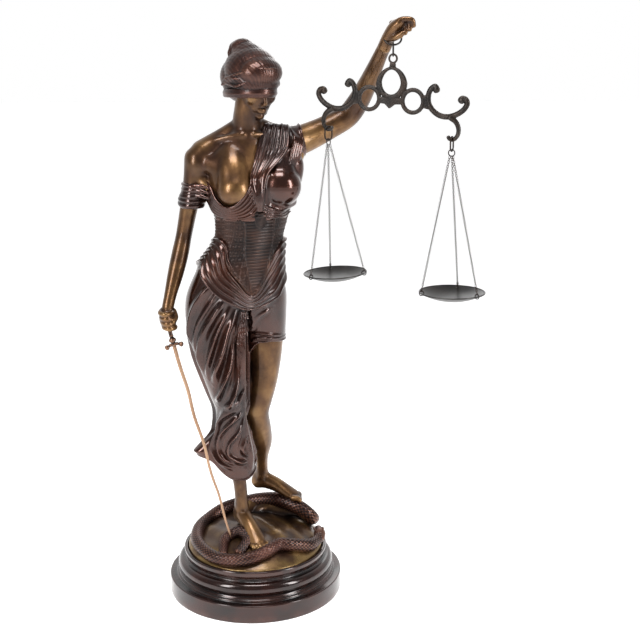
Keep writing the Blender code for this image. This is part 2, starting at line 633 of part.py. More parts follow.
def add_toes(bm, root, ahead, across, big_side):
    """Five toes in a row, the big one on the side given."""
    ahead, across = np.array(ahead), np.array(across)
    for k in range(5):
        share = (k - 2) * 0.0077
        width = 0.0062 if k == 4 else 0.0044
        reach = 0.0175 if k >= 3 else 0.0150 - 0.0016 * (2 - k)
        start = np.array(root) + across * share * big_side - ahead * 0.004
        middle = start + ahead * reach * 0.6 + np.array((0, 0, 0.0012))
        end = start + ahead * reach - np.array((0, 0, 0.0020))
        add_limb(bm, [(*start, width, width * 1.1), (*middle, width * 0.95, width),
                      (*end, width * 0.9, width * 0.8)], sides=8, up=(0, 0, 1))


HEAD_TURN = math.radians(32)
HEAD_PITCH = math.radians(17)
HEAD_CENTRE = np.array((0.0075, -0.004, 1.060))
HEAD_SIDE = np.array((math.cos(HEAD_TURN), math.sin(HEAD_TURN), 0))
HEAD_AHEAD = np.array((math.sin(HEAD_TURN) * math.cos(HEAD_PITCH),
                       -math.cos(HEAD_TURN) * math.cos(HEAD_PITCH), -math.sin(HEAD_PITCH)))
HEAD_UP = np.cross(HEAD_AHEAD, HEAD_SIDE)
HEAD_AXES = (HEAD_SIDE, HEAD_AHEAD, HEAD_UP)


def on_head(x, y, z):
    """Head space: x to her left, y ahead, z up from the line of the eyes."""
    return HEAD_CENTRE + HEAD_SIDE * x + HEAD_AHEAD * y + HEAD_UP * z


def head_ball(bm, x, y, z, radii):
    add_ball(bm, on_head(x, y, z), radii, HEAD_AXES)


def head_limb(bm, stations, sides=12, up=None):
    add_limb(bm, [(*on_head(*s[:3]), s[3], s[4]) for s in stations], sides=sides,
             up=HEAD_UP if up is None else up)


HEAD_UNIT = 0.121    # chin to crown of the head without its hair


def add_face(bm):
    """A calm, regular face: eye line at half the head, nose at half of what is left, mouth a third below."""
    h = HEAD_UNIT
    head_ball(bm, 0, -0.06 * h, 0.10 * h, (0.345 * h, 0.44 * h, 0.40 * h))
    head_ball(bm, 0, 0.12 * h, -0.10 * h, (0.285 * h, 0.26 * h, 0.36 * h))
    head_limb(bm, [(0, 0.18 * h, -0.24 * h, 0.21 * h, 0.16 * h),
                   (0, 0.24 * h, -0.36 * h, 0.15 * h, 0.115 * h),
                   (0, 0.26 * h, -0.42 * h, 0.095 * h, 0.080 * h)], up=HEAD_AHEAD)
    head_ball(bm, 0, 0.335 * h, -0.425 * h, (0.075 * h, 0.055 * h, 0.060 * h))
    for s in (-1, 1):
        head_limb(bm, [(s * 0.27 * h, 0.00, -0.12 * h, 0.055 * h, 0.09 * h),
                       (s * 0.235 * h, 0.09 * h, -0.29 * h, 0.055 * h, 0.075 * h),
                       (s * 0.11 * h, 0.26 * h, -0.40 * h, 0.050 * h, 0.060 * h)])
        head_ball(bm, s * 0.165 * h, 0.275 * h, -0.115 * h, (0.090 * h, 0.070 * h, 0.075 * h))
        head_ball(bm, s * 0.052 * h, 0.405 * h, -0.222 * h, (0.030 * h, 0.034 * h, 0.028 * h))
    head_limb(bm, [(0, 0.345 * h, 0.03 * h, 0.036 * h, 0.034 * h),
                   (0, 0.385 * h, -0.08 * h, 0.034 * h, 0.036 * h),
                   (0, 0.432 * h, -0.195 * h, 0.038 * h, 0.040 * h)], up=HEAD_AHEAD)
    for z, half, thick in ((-0.302, 0.100, 0.021), (-0.345, 0.085, 0.026)):
        head_limb(bm, [(-half * h, 0.330 * h, (z - 0.010) * h, 0.012 * h, 0.018 * h),
                       (-0.030 * h, 0.385 * h, z * h, thick * h, 0.032 * h),
                       (0.030 * h, 0.385 * h, z * h, thick * h, 0.032 * h),
                       (half * h, 0.330 * h, (z - 0.010) * h, 0.012 * h, 0.018 * h)])


def head_band(bm, z_front, z_back, half_height, grow, steps=28):
    """A band round the head, one closed ring of upright oval sections."""
    rings = []
    for i in range(steps):
        a = 2 * math.pi * i / steps
        share = (1 + math.cos(a)) / 2
        z = z_back + (z_front - z_back) * share
        outward = np.array((math.sin(a), math.cos(a)))
        radius = np.array((0.0445 + grow, 0.0575 + grow))
        middle = on_head(outward[0] * radius[0], outward[1] * radius[1] - 0.010, z)
        direction = HEAD_SIDE * outward[0] + HEAD_AHEAD * outward[1]
        ring = []
        for k in range(10):
            b = 2 * math.pi * k / 10
            ring.append(middle + direction * math.cos(b) * 0.0042 + HEAD_UP * math.sin(b) * half_height)
        rings.append(np.array(ring))
    add_rings(bm, rings, closed_route=True)


def add_hair(bm):
    """A full cap of hair, bound by the blindfold, with a high knot behind."""
    head_ball(bm, 0, -0.014, 0.020, (0.0545, 0.0600, 0.0465))
    head_ball(bm, 0, -0.034, 0.004, (0.0520, 0.0490, 0.0450))
    head_ball(bm, 0, 0.016, 0.028, (0.0460, 0.0365, 0.0290))
    head_ball(bm, 0, -0.030, -0.016, (0.0450, 0.0430, 0.0300))
    head_limb(bm, [(0, -0.026, 0.028, 0.046, 0.042), (-0.001, -0.044, 0.042, 0.037, 0.034),
                   (-0.003, -0.058, 0.053, 0.026, 0.024)], up=HEAD_AHEAD)
    head_band(bm, -0.007, -0.038, 0.0088, 0.0012)
    # The diadem's rim arches over the brow to behind the ears
    arc = []
    for k in range(9):
        a = math.radians(-96 + 24 * k)
        arc.append((0.0540 * math.sin(a), -0.014 + 0.0585 * math.cos(a), 0.010 + 0.038 * math.cos(a),
                    0.0026, 0.0026))
    head_limb(bm, arc, sides=8)
    # Locks swept back from the brow over each temple
    for s in (-1, 1):
        for k in range(5):
            start = 0.004 + 0.0075 * k
            head_limb(bm, [(s * start, 0.0475 - 0.0030 * k, 0.022 - 0.001 * k, 0.0034, 0.0034),
                           (s * (start + 0.016), 0.0380 - 0.0056 * k, 0.019 - 0.0036 * k, 0.0038, 0.0036),
                           (s * (0.0500 + 0.0004 * k), 0.006 - 0.0072 * k, 0.012 - 0.0042 * k, 0.0038,
                            0.0036),
                           (s * 0.0480, -0.030 - 0.0024 * k, 0.004 - 0.0050 * k, 0.0030, 0.0028)], sides=8)
    # The blindfold's knot
    head_limb(bm, [(-0.012, -0.070, -0.035, 0.0050, 0.0060), (0, -0.073, -0.038, 0.0060, 0.0070),
                   (0.012, -0.070, -0.041, 0.0050, 0.0060)])
    # Wound strands round the foot of the knot
    for tilt, size in ((0.0, 0.0365), (0.008, 0.0300)):
        turn = []
        for i in range(9):
            a = 2 * math.pi * i / 8
            turn.append((size * math.cos(a), -0.042 - tilt + size * 0.80 * math.sin(a),
                         0.038 + tilt - size * 0.5 * math.sin(a), 0.0036, 0.0036))
        head_limb(bm, turn, sides=8)


def drape(bm, points, width, height, steps=6):
    """A raised fold along points in the drawn space, thin at both ends."""
    last = len(points) - 1
    stations = []
    for k, p in enumerate(points):
        ease = 0.45 if k in (0, last) else 1.0
        stations.append((*p, width * ease, height * ease))
    add_limb(bm, stations, sides=10, steps=steps)


def between_routes(first, last, share):
    return [tuple(a + (b - a) * share for a, b in zip(p, q)) for p, q in zip(first, last)]


def add_bodice(bm):
    """The upper gown: covered left breast, strap over the shoulder, loose edge and sleeve."""
    add_ball(bm, (0.0585, -0.0290, 0.8640), (0.0405, 0.0375, 0.0400))
    TORSO.add(bm, 0.800, 0.974, bodice_lift, turns=96, levels=64)
    add_limb(bm, [(0.040, -0.022, 0.935, 0.022, 0.014), (0.050, -0.034, 0.905, 0.030, 0.018),
                  (0.056, -0.034, 0.880, 0.036, 0.026)])
    add_limb(bm, [(0.060, -0.014, 0.938, 0.020, 0.020), (0.084, -0.008, 0.908, 0.021, 0.021),
                  (0.084, -0.004, 0.880, 0.016, 0.018)])
    # Short sleeve over the raised shoulder
    add_limb(bm, [(0.066, 0.012, 0.940, 0.0345, 0.0350), (0.086, 0.017, 0.945, 0.0355, 0.0355),
                  (0.101, 0.021, 0.949, 0.0340, 0.0345)], up=(0, 0, 1), rounding=False)
    # Gathers from the shoulder that draw together between the breasts
    inner = [(0.036, 0.050, 0.930), (0.034, 0.028, 0.968), (0.031, -0.004, 0.980), (0.016, -0.028, 0.936),
             (0.010, -0.041, 0.912), (0.002, -0.064, 0.880), (0.010, -0.0690, 0.848), (0.014, -0.0665, 0.820)]
    outer = [(0.078, 0.050, 0.930), (0.078, 0.028, 0.968), (0.075, 0.002, 0.978), (0.074, -0.030, 0.944),
             (0.058, -0.043, 0.920), (0.032, -0.060, 0.890), (0.025, -0.0650, 0.848), (0.023, -0.0635, 0.820)]
    for k in range(5):
        drape(bm, between_routes(inner, outer, k / 4), 0.0036, 0.0042)
    # Slack folds from the sleeve over the outer side of the breast
    inner = [(0.080, 0.002, 0.976), (0.088, -0.021, 0.957), (0.081, -0.031, 0.927), (0.078, -0.034, 0.900)]
    outer = [(0.098, 0.006, 0.974), (0.103, -0.014, 0.948), (0.098, -0.020, 0.922), (0.092, -0.018, 0.900)]
    for k in range(3):
        drape(bm, between_routes(inner, outer, k / 2), 0.0038, 0.0042)
    # Folds that fall from the breast to the belt
    for k in range(3):
        drape(bm, [(0.024, -0.0640 + 0.002 * k, 0.832 - 0.008 * k),
                   (0.044, -0.0560 + 0.002 * k, 0.822 - 0.006 * k),
                   (0.066, -0.0360 + 0.002 * k, 0.820 - 0.005 * k), (0.083, -0.0120, 0.834 - 0.010 * k)],
              0.0036, 0.0040)
    # The slipped edge: from the sleeve under the bare breast up to the gathers
    upper = [(-0.094, -0.008, 0.880), (-0.080, -0.034, 0.866), (-0.067, -0.054, 0.840),
             (-0.046, -0.070, 0.827),
             (-0.023, -0.0765, 0.837), (-0.002, -0.070, 0.866), (0.008, -0.052, 0.898)]
    lower = [(-0.096, -0.006, 0.846), (-0.083, -0.028, 0.834), (-0.070, -0.046, 0.814),
             (-0.040, -0.0700, 0.807),
             (-0.010, -0.0745, 0.809), (0.010, -0.068, 0.822), (0.016, -0.066, 0.842)]
    for k in range(4):
        drape(bm, between_routes(upper, lower, k / 3), 0.0038, 0.0042)
    # Sleeve slipped down her right upper arm
    for k in range(5):
        z = 0.866 - 0.0094 * k
        x = -0.1085 - 0.0019 * k
        turn = []
        for i in range(9):
            a = 2 * math.pi * i / 8
            turn.append((x + 0.0238 * math.cos(a), 0.001 + 0.0265 * math.sin(a),
                         z + 0.0034 * math.sin(a + 1.3 * k)))
        drape(bm, turn, 0.0060, 0.0050, steps=4)


def add_gown(bm):
    HIPS.add(bm, 0.600, 0.775, swag_lift, turns=120, levels=70)
    TORSO.add(bm, 0.640, 0.822, corset_lift, turns=110, levels=96)
    GOWN.add(bm, 0.245, 0.690, gown_lift, turns=160, levels=130)
    KILT.add(bm, 0.515, 0.690, kilt_lift, turns=80, levels=60)
    # The seam of gathered cloth down the middle
    for k in range(3):
        s = 1.8 * (k - 1)
        drape(bm, [(-0.021 - 0.0040 * s, -0.060 + 0.002 * s, 0.618),
                   (-0.024 - 0.0040 * s, -0.0665 + 0.001 * s, 0.540),
                   (-0.024 - 0.0036 * s, -0.067, 0.470), (-0.024 - 0.0032 * s, -0.061, 0.410),
                   (-0.018 - 0.0046 * s, -0.052, 0.350), (-0.012 - 0.0056 * s, -0.040, 0.305)], 0.0048,
                   0.0085)
    # The end of the gathers curls over at the hem
    add_limb(bm, [(-0.018, -0.048, 0.336, 0.009, 0.008), (-0.011, -0.045, 0.308, 0.011, 0.010),
                  (-0.012, -0.040, 0.280, 0.010, 0.009)])


MOUND_EDGE = 0.1425
MOUND_TOP = 0.142


def mound_height(x, y):
    """A low dome, a little higher behind, with soft hollows."""
    r = math.hypot(x, y - 0.008) / 0.1475
    dome = max(0.0, 1 - r ** 2.3) ** 0.9
    lumps = 0.0022 * math.sin(x * 61 + 1.3) * math.sin(y * 53 + 0.4) + 0.0012 * math.sin(x * 118 + y * 91)
    return 0.0955 + (MOUND_TOP - 0.0955) * dome + lumps * min(1, 1.6 * dome)


def add_mound(bm):
    rings = []
    for radius in [MOUND_EDGE * s for s in (1.0, 0.99, 0.96, 0.92, 0.86, 0.78, 0.68, 0.56, 0.42, 0.26, 0.08)]:
        ring = []
        for k in range(48):
            a = 2 * math.pi * k / 48
            x, y = radius * math.cos(a), radius * math.sin(a)
            ring.append((x, y, mound_height(x, y)))
        rings.append(np.array(ring))
    foot = rings[0].copy()
    foot[:, 2] = DRAWN_SEAT - 0.004
    add_rings(bm, [foot] + rings)
    # Higher ground under the left foot
    add_ball(bm, (0.045, 0.066, 0.132), (0.062, 0.036, 0.028))
    add_ball(bm, (0.006, 0.080, 0.138), (0.034, 0.030, 0.028))


# The serpent's route over the mound: (angle in degrees, distance from the axis, height over the mound)
SERPENT = [(60, 0.118, -0.004), (44, 0.138, 0.004), (29, 0.146, 0.012), (17, 0.134, 0.020),
           (23, 0.110, 0.026), (46, 0.088, 0.029), (78, 0.086, 0.026), (104, 0.094, 0.019), (128, 0.104, 0.013),
           (150, 0.112, 0.009),
           (172, 0.121, 0.008), (194, 0.127, 0.007), (214, 0.130, 0.007), (232, 0.133, 0.007),
           (250, 0.131, 0.008),
           (266, 0.126, 0.010), (282, 0.114, 0.011), (298, 0.103, 0.011), (312, 0.115, 0.010),
           (328, 0.130, 0.009),
           (344, 0.136, 0.012), (353, 0.136, 0.022)]
SERPENT_RADIUS = 0.0136


def serpent_station(angle, distance, lift, radius):
    a = math.radians(angle)
    x, y = distance * math.cos(a), distance * math.sin(a)
    return (x, y, mound_height(x, y) + lift, radius, radius * 0.92)


def add_serpent(bm):
    last = len(SERPENT) - 1
    stations = []
    for k, (angle, distance, lift) in enumerate(SERPENT):
        grow = 0.62 + 0.38 * min(1.0, k / 3) if k < last - 1 else 0.86
        if 3 <= k <= 7:
            grow *= 1.20
        stations.append(serpent_station(angle, distance, lift, SERPENT_RADIUS * grow))
    add_limb(bm, stations, sides=12, steps=4, up=(0, 0, 1))
    # Head, flat and broad, lifted off the ground
    tip = np.array(stations[-1][:3])
    add_limb(bm, [(*tip, 0.0105, 0.0085), (*(tip + np.array((0.000, 0.012, 0.006))), 0.0125, 0.0085),
                  (*(tip + np.array((-0.004, 0.026, 0.006))), 0.0070, 0.0055)], sides=10, up=(0, 0, 1))
    # The tail's loop crosses over by the toes
    add_limb(bm, [serpent_station(252, 0.108, 0.003, 0.0105), serpent_station(258, 0.078, 0.006, 0.0115),
                  serpent_station(240, 0.066, 0.012, 0.0115), serpent_station(226, 0.090, 0.007, 0.0100),
                  serpent_station(236, 0.120, 0.004, 0.0095)], sides=12, up=(0, 0, 1))


SWORD_POINT = np.array((-0.0500, -0.0720, 0.1350))
SWORD_GUARD = np.array((-0.1580, -0.0500, 0.5500))


def build_figure():
    bm = bmesh.new()
    merge_softly(bm, (add_torso, add_arms, add_legs, add_feet), BODY_VOXEL, BODY_SMOOTHING)
    merge_softly(bm, (add_hands, add_all_toes, add_face, add_hair), DETAIL_VOXEL, DETAIL_SMOOTHING)
    for form in (add_bodice, add_gown, add_mound, add_serpent):
        form(bm)
    bmesh.ops.recalc_face_normals(bm, faces=bm.faces)
    for v in bm.verts:
        v.co = Vector(place(v.co[:]))
    figure = add_object("figure", bm, "bronze")
    melt(figure, FIGURE_VOXEL, FIGURE_SMOOTHING)
    decimate = figure.modifiers.new("facets", "DECIMATE")
    decimate.ratio = FIGURE_SHARE_KEPT
    decimate.use_collapse_triangulate = True
    return figure


def seat_cutter():
    """Cuts the figure flat on the plinth's seat and round inside its lip."""
    bm = bmesh.new()
    low, top = seat_height() - 0.05, seat_height() + TOUCH_GAP
    wide = 2 * PLINTH_RADIUS
    lathe(bm, [(0.0001, low), (wide, low), (wide, top), (0.0001, top)], 72)
    return add_object("seat_cutter", bm, "bronze", smooth=False)


def build_plinth():
    """One turned piece: foot, step, bulge, groove and lip, with a seat sunk in the top."""
    r, e = PLINTH_RADIUS, EDGE_ROUND
    lip_in = LIP_RADIUS - LIP_WIDTH
    bulge_low, bulge_high = FOOT_HEIGHT + 0.0085, PLINTH_HEIGHT - 0.022
    middle, half = (bulge_low + bulge_high) / 2, (bulge_high - bulge_low) / 2
    profile = [(0.0001, 0), (r - e, 0), (r, e), (r, FOOT_HEIGHT - e), (r - e, FOOT_HEIGHT),
               (BULGE_RADIUS + 0.0035, FOOT_HEIGHT), (BULGE_RADIUS + 0.0030, FOOT_HEIGHT + 0.0040),
               (BULGE_RADIUS - 0.0010, bulge_low)]
    for k in range(1, 6):
        a = -math.pi / 2 + math.pi * k / 6
        profile.append((BULGE_RADIUS - 0.011 + 0.011 * math.cos(a), middle + half * math.sin(a)))
    profile += [(WAIST_RADIUS, bulge_high), (WAIST_RADIUS - 0.003, bulge_high + 0.003),
                (WAIST_RADIUS - 0.003, bulge_high + 0.0055), (LIP_RADIUS, bulge_high + 0.008),
                (LIP_RADIUS + 0.0012, PLINTH_HEIGHT - 0.005), (LIP_RADIUS - 0.0015, PLINTH_HEIGHT),
                (lip_in, PLINTH_HEIGHT - 0.0005), (lip_in, seat_height()), (0.0001, seat_height())]
    bm = bmesh.new()
    lathe(bm, profile, PLINTH_SIDES)
    return add_object("plinth", bm, "plinth", merge=0.0005)


def sword_frame():
    """World places of the guard and the point, and the sword's directions."""
    guard, point = place(SWORD_GUARD), place(SWORD_POINT)
    down = point - guard
    length = np.linalg.norm(down)
    down = down / length
    side = np.cross(down, (0, -1, 0))
    side /= np.linalg.norm(side)
    return guard, point, down, side, np.cross(side, down), length


def blade_rings(grow=0.0):
    """A flat blade of diamond section with a slight wave, drawn to a point."""
    guard, point, down, side, front, length = sword_frame()
    rings = []
    count = 13
    for i in range(count):
        t = i / (count - 1)
        wave = BLADE_WAVE_SIZE * math.sin(2 * math.pi * BLADE_WAVES * t) * min(1, 4 * t, 4 * (1 - t))
        taper = 1 - BLADE_TAPER * t if i < count - 1 else 0.15
        centre = guard + down * (length * t) + side * wave
        half_w, half_t = BLADE_WIDTH / 2 * taper + grow, BLADE_THICKNESS / 2 * taper + grow
        rings.append(np.array([centre + side * half_w, centre + front * half_t,
                               centre - side * half_w, centre - front * half_t]))
    return rings


def grip_rings(grow=0.0, sides=8):
    """The turned grip, from the bulb under the guard up into the fist."""
    guard, point, down, side, front, length = sword_frame()
    profile = [(0.002, 0.0032), (-0.003, 0.0036), (-0.007, BULB_RADIUS), (-0.0125, BULB_RADIUS),
               (-0.016, 0.0036),
               (-0.019, GRIP_RADIUS), (-GRIP_LENGTH, GRIP_RADIUS)]
    rings = []
    for along, radius in profile:
        angle = np.linspace(0, 2 * math.pi, sides, endpoint=False)
        rings.append(guard + down * along + np.outer(np.cos(angle), side) * (radius + grow)
                     + np.outer(np.sin(angle), front) * (radius + grow))
    rings[-1] = rings[-1] - down * grow
    return rings


def build_sword():
    guard, point, down, side, front, length = sword_frame()
    bm = bmesh.new()
    add_rings(bm, grip_rings())
    bmesh.ops.recalc_face_normals(bm, faces=bm.faces)
    sword = add_object("sword", bm, "blade")
    bm = bmesh.new()
    add_rings(bm, blade_rings())
    bmesh.ops.recalc_face_normals(bm, faces=bm.faces)
    cut(sword, add_object("sword_blade", bm, "blade"), "UNION")
    # The guard droops to a ball on each side
    bm = bmesh.new()
    stations = []
    for k in range(7):
        t = k / 3 - 1
        bulge = 1.35 if k in (0, 6) else 0.85 if k in (1, 5) else 1.0
        at = guard + side * GUARD_HALF_SPAN * t + down * (0.004 * t * t - 0.001)
        stations.append((*at, GUARD_RADIUS * bulge, GUARD_RADIUS * bulge))
    add_limb(bm, stations, sides=8, steps=1, up=(0, 1, 0))
    bmesh.ops.recalc_face_normals(bm, faces=bm.faces)
    cut(sword, add_object("sword_guard", bm, "blade"), "UNION")
    return sword


def sword_cutter():
    """Room for the grip in the fist."""
    bm = bmesh.new()
    add_rings(bm, grip_rings(FIT_GAP))
    bmesh.ops.recalc_face_normals(bm, faces=bm.faces)
    return add_object("grip_cutter", bm, "bronze", smooth=False)


def point_cutter():
    """The socket in the mound that takes the sword's point."""
    guard, point, down, side, front, length = sword_frame()
    bm = bmesh.new()
    rings = []
    for along, radius in ((-0.040, 0.0042), (-0.010, 0.0042), (0.004, 0.0032)):
        angle = np.linspace(0, 2 * math.pi, 10, endpoint=False)
        rings.append(point + down * along + np.outer(np.cos(angle), side) * radius
                     + np.outer(np.sin(angle), front) * radius)
    add_rings(bm, rings)
    bmesh.ops.recalc_face_normals(bm, faces=bm.faces)
    return add_object("point_cutter", bm, "bronze", smooth=False)


HAND_RING_NORMAL = np.array((0.0, -0.75, 0.661))
HAND_RING_DOWN = np.array((0.0, -0.661, -0.75))
HAND_HOLD = np.array((0.2720, -0.0733, 1.1475))


def hand_ring_centre():
    return place(HAND_HOLD)


def build_hand_ring():
    bm = bmesh.new()
    ring_mesh(bm, hand_ring_centre(), HAND_RING_NORMAL, HAND_RING_RADIUS, HAND_RING_WIRE, 20, 4)
    return add_object("hand_ring", bm, "iron")


def hand_ring_cutter():
    bm = bmesh.new()
    ring_mesh(bm, hand_ring_centre(), HAND_RING_NORMAL, HAND_RING_RADIUS, HAND_RING_WIRE + FIT_GAP, 20, 4)
    return add_object("ring_cutter", bm, "iron", smooth=False)


def beam_axis():
    return np.array((math.cos(BEAM_TURN), math.sin(BEAM_TURN), 0))


def beam_normal():
    return np.array((-math.sin(BEAM_TURN), math.cos(BEAM_TURN), 0))


def link_bottom():
    """The lowest inside point of the wire link: it hangs in the hand ring."""
    low = hand_ring_centre() + HAND_RING_DOWN * HAND_RING_RADIUS
    inside = HAND_RING_WIRE + HANG_GAP
    return low + np.array((0, 0, inside - LINK_LENGTH + 4 * LINK_WIRE))


def build_link():
    wire_middle = (LINK_WIDTH / 2 - LINK_WIRE)
    half = LINK_LENGTH / 2 - LINK_WIRE
    centre = link_bottom() + np.array((0, 0, half - LINK_WIRE))
    normal = np.array((math.cos(BEAM_TURN / 2), math.sin(BEAM_TURN / 2), 0))
    bm = bmesh.new()
    ring_mesh(bm, centre, normal, wire_middle, LINK_WIRE, 16, 4, stretch=half / wire_middle)
    return add_object("hanger_link", bm, "iron")


def eye_centre():
    """The beam hangs with the top of its eye's hole on the link."""
    return link_bottom() + np.array((0, 0, HANG_GAP - EYE_HOLE))


def beam_point(out, up, off=0.0):
    """A point of the beam: out along it, up from its eye and off its middle plane."""
    c, s = math.cos(BEAM_TILT), math.sin(BEAM_TILT)
    u, v = out * c + up * s, up * c - out * s
    return eye_centre() + beam_axis() * u + np.array((0, 0, v)) + beam_normal() * off


def plate(bm, outline, thickness):
    """A flat plate from an outline of (out, up) points."""
    rings = [np.array([beam_point(p[0], p[1], off * thickness) for p in outline]) for off in (-0.5, 0.5)]
    add_rings(bm, rings)
    bmesh.ops.recalc_face_normals(bm, faces=bm.faces)


def oval(cx, cy, rx, ry, count=24, narrow_top=0.0):
    out = []
    for k in range(count):
        a = 2 * math.pi * k / count
        pinch = 1 - narrow_top * max(0.0, math.sin(a))
        out.append((cx + rx * math.cos(a) * pinch, cy + ry * math.sin(a)))
    return out


def stroke(bm, points, radius, knob_share, steps):
    """A rounded bar along (out, up) points that thickens to a knob at its ends."""
    route = smooth_route(points, steps)
    sides = 6
    rings = []
    tangents = np.gradient(route, axis=0)
    tangents /= np.linalg.norm(tangents, axis=1)[:, None]
    for k, (p, t) in enumerate(zip(route, tangents)):
        ring = []
        for i in range(sides):
            a = 2 * math.pi * (i + 0.5) / sides
            knob = 1 + knob_share * max(0, 1 - min(k, len(route) - 1 - k) / 1.5)
            side = radius * math.cos(a) * knob
            off = BEAM_THICKNESS * STROKE_SHARE * math.sin(a) * knob
            ring.append(beam_point(p[0] - t[1] * side, p[1] + t[0] * side, off))
        rings.append(np.array(ring))
    ends = [cap_ring(rings[i], rings[i].mean(0) - rings[j].mean(0), KNOB_END) for i, j in ((0, 1), (-1, -2))]
    add_rings(bm, [ends[0]] + rings + [ends[1]])
    bmesh.ops.recalc_face_normals(bm, faces=bm.faces)


def scroll_points(side):
    r = BEAM_REACH / DRAWN_REACH
    shape = [(0.0905, -0.0540), (0.0870, -0.0465), (0.0795, -0.0510), (0.0750, -0.0620), (0.0760, -0.0770),
             (0.0840, -0.0895), (0.0980, -0.0985), (0.1140, -0.1005), (0.1300, -0.0960), (0.1440, -0.0865),
             (0.1510, -0.0750), (0.1485, -0.0670), (0.1420, -0.0655), (0.1385, -0.0700)]
    return [(side * u * r, v) for u, v in shape]


def hook_points(side):
    r = BEAM_REACH / DRAWN_REACH
    shape = [(0.1200, -0.1010), (0.1320, -0.1090), (0.1380, -0.1210), (0.1370, -0.1330), (0.1300, -0.1415),
             (0.1225, -0.1412), (0.1190, -0.1375)]
    return [(side * u * r, v) for u, v in shape]


HOOK_BOTTOM = (0.1268, -0.1420)


def union_all(base, pieces):
    for piece in pieces:
        cut(base, piece, "UNION")


def beam_piece(name, draw):
    bm = bmesh.new()
    draw(bm)
    return add_object(name, bm, "iron")


def build_beam():
    t = BEAM_THICKNESS
    ring_middle = -(CENTRE_RING_TOP + CENTRE_RING_FOOT) / 2
    ring_half = (CENTRE_RING_FOOT - CENTRE_RING_TOP) / 2
    beam = beam_piece("balance_beam", lambda bm: plate(
        bm, oval(0, ring_middle, CENTRE_RING_WIDTH, ring_half, 22, RING_NARROWING), t))
    plate_outline = [(-0.028, -0.062), (-0.026, -0.084), (-0.012, -0.085), (-0.002, -0.0935), (0.009, -0.085),
                     (0.024, -0.084), (0.027, -0.062), (0.0, -0.056)]
    pieces = [
        beam_piece("beam_centre", lambda bm: plate(bm, plate_outline, t * 0.96)),
        beam_piece("beam_eye", lambda bm: plate(bm, oval(0, 0, EYE_RADIUS, EYE_RADIUS, 16), EYE_THICKNESS)),
        beam_piece("beam_neck", lambda bm: plate(
            bm, [(-0.0055, -0.006), (0.0055, -0.006), (0.0068, -0.019), (-0.0068, -0.019)], t * 0.90))]
    for side, word in ((-1, "left"), (1, "right")):
        out = side * SIDE_RING_OUT
        pieces.append(beam_piece("beam_side_" + word, lambda bm: plate(
            bm, oval(out, -SIDE_RING_DROP, SIDE_RING_RADIUS, SIDE_RING_RADIUS * 1.03, 18), t * 0.98)))
        pieces.append(beam_piece("beam_scroll_" + word, lambda bm: stroke(
            bm, scroll_points(side), SCROLL_STROKE, KNOB_SHARE, 1)))
        pieces.append(beam_piece("beam_hook_" + word, lambda bm: stroke(
            bm, hook_points(side), HOOK_STROKE, HOOK_KNOB_SHARE, 2)))
        pieces.append(beam_piece("beam_joint_" + word, lambda bm: plate(
            bm, [(side * 0.064, -0.064), (side * 0.077, -0.060), (side * 0.080, -0.090),
                 (side * 0.064, -0.088)], t * 0.88)))
    union_all(beam, pieces)
    holes = [("eye_hole", oval(0, 0, EYE_HOLE, EYE_HOLE, 12)),
             ("centre_hole", oval(-0.001, ring_middle + 0.0018, CENTRE_HOLE_WIDTH, ring_half - 0.0075,
                                  18, 0.14))]
    for side, word in ((-1, "left"), (1, "right")):
        holes.append(("side_hole_" + word, oval(side * SIDE_RING_OUT, -SIDE_RING_DROP, SIDE_RING_HOLE,
                                                SIDE_RING_HOLE * 1.03, 16)))
    for name, outline in holes:
        bm = bmesh.new()
        rings = [np.array([beam_point(p[0], p[1], off) for p in outline]) for off in (-t, t)]
        add_rings(bm, rings)
        bmesh.ops.recalc_face_normals(bm, faces=bm.faces)
        cut(beam, add_object(name, bm, "iron", smooth=False))
    return beam


def hang(side):
    """Where the oval ring rests on the hook, at the middle of its bar."""
    return beam_point(side * HOOK_BOTTOM[0] * BEAM_REACH / DRAWN_REACH, HOOK_BOTTOM[1])


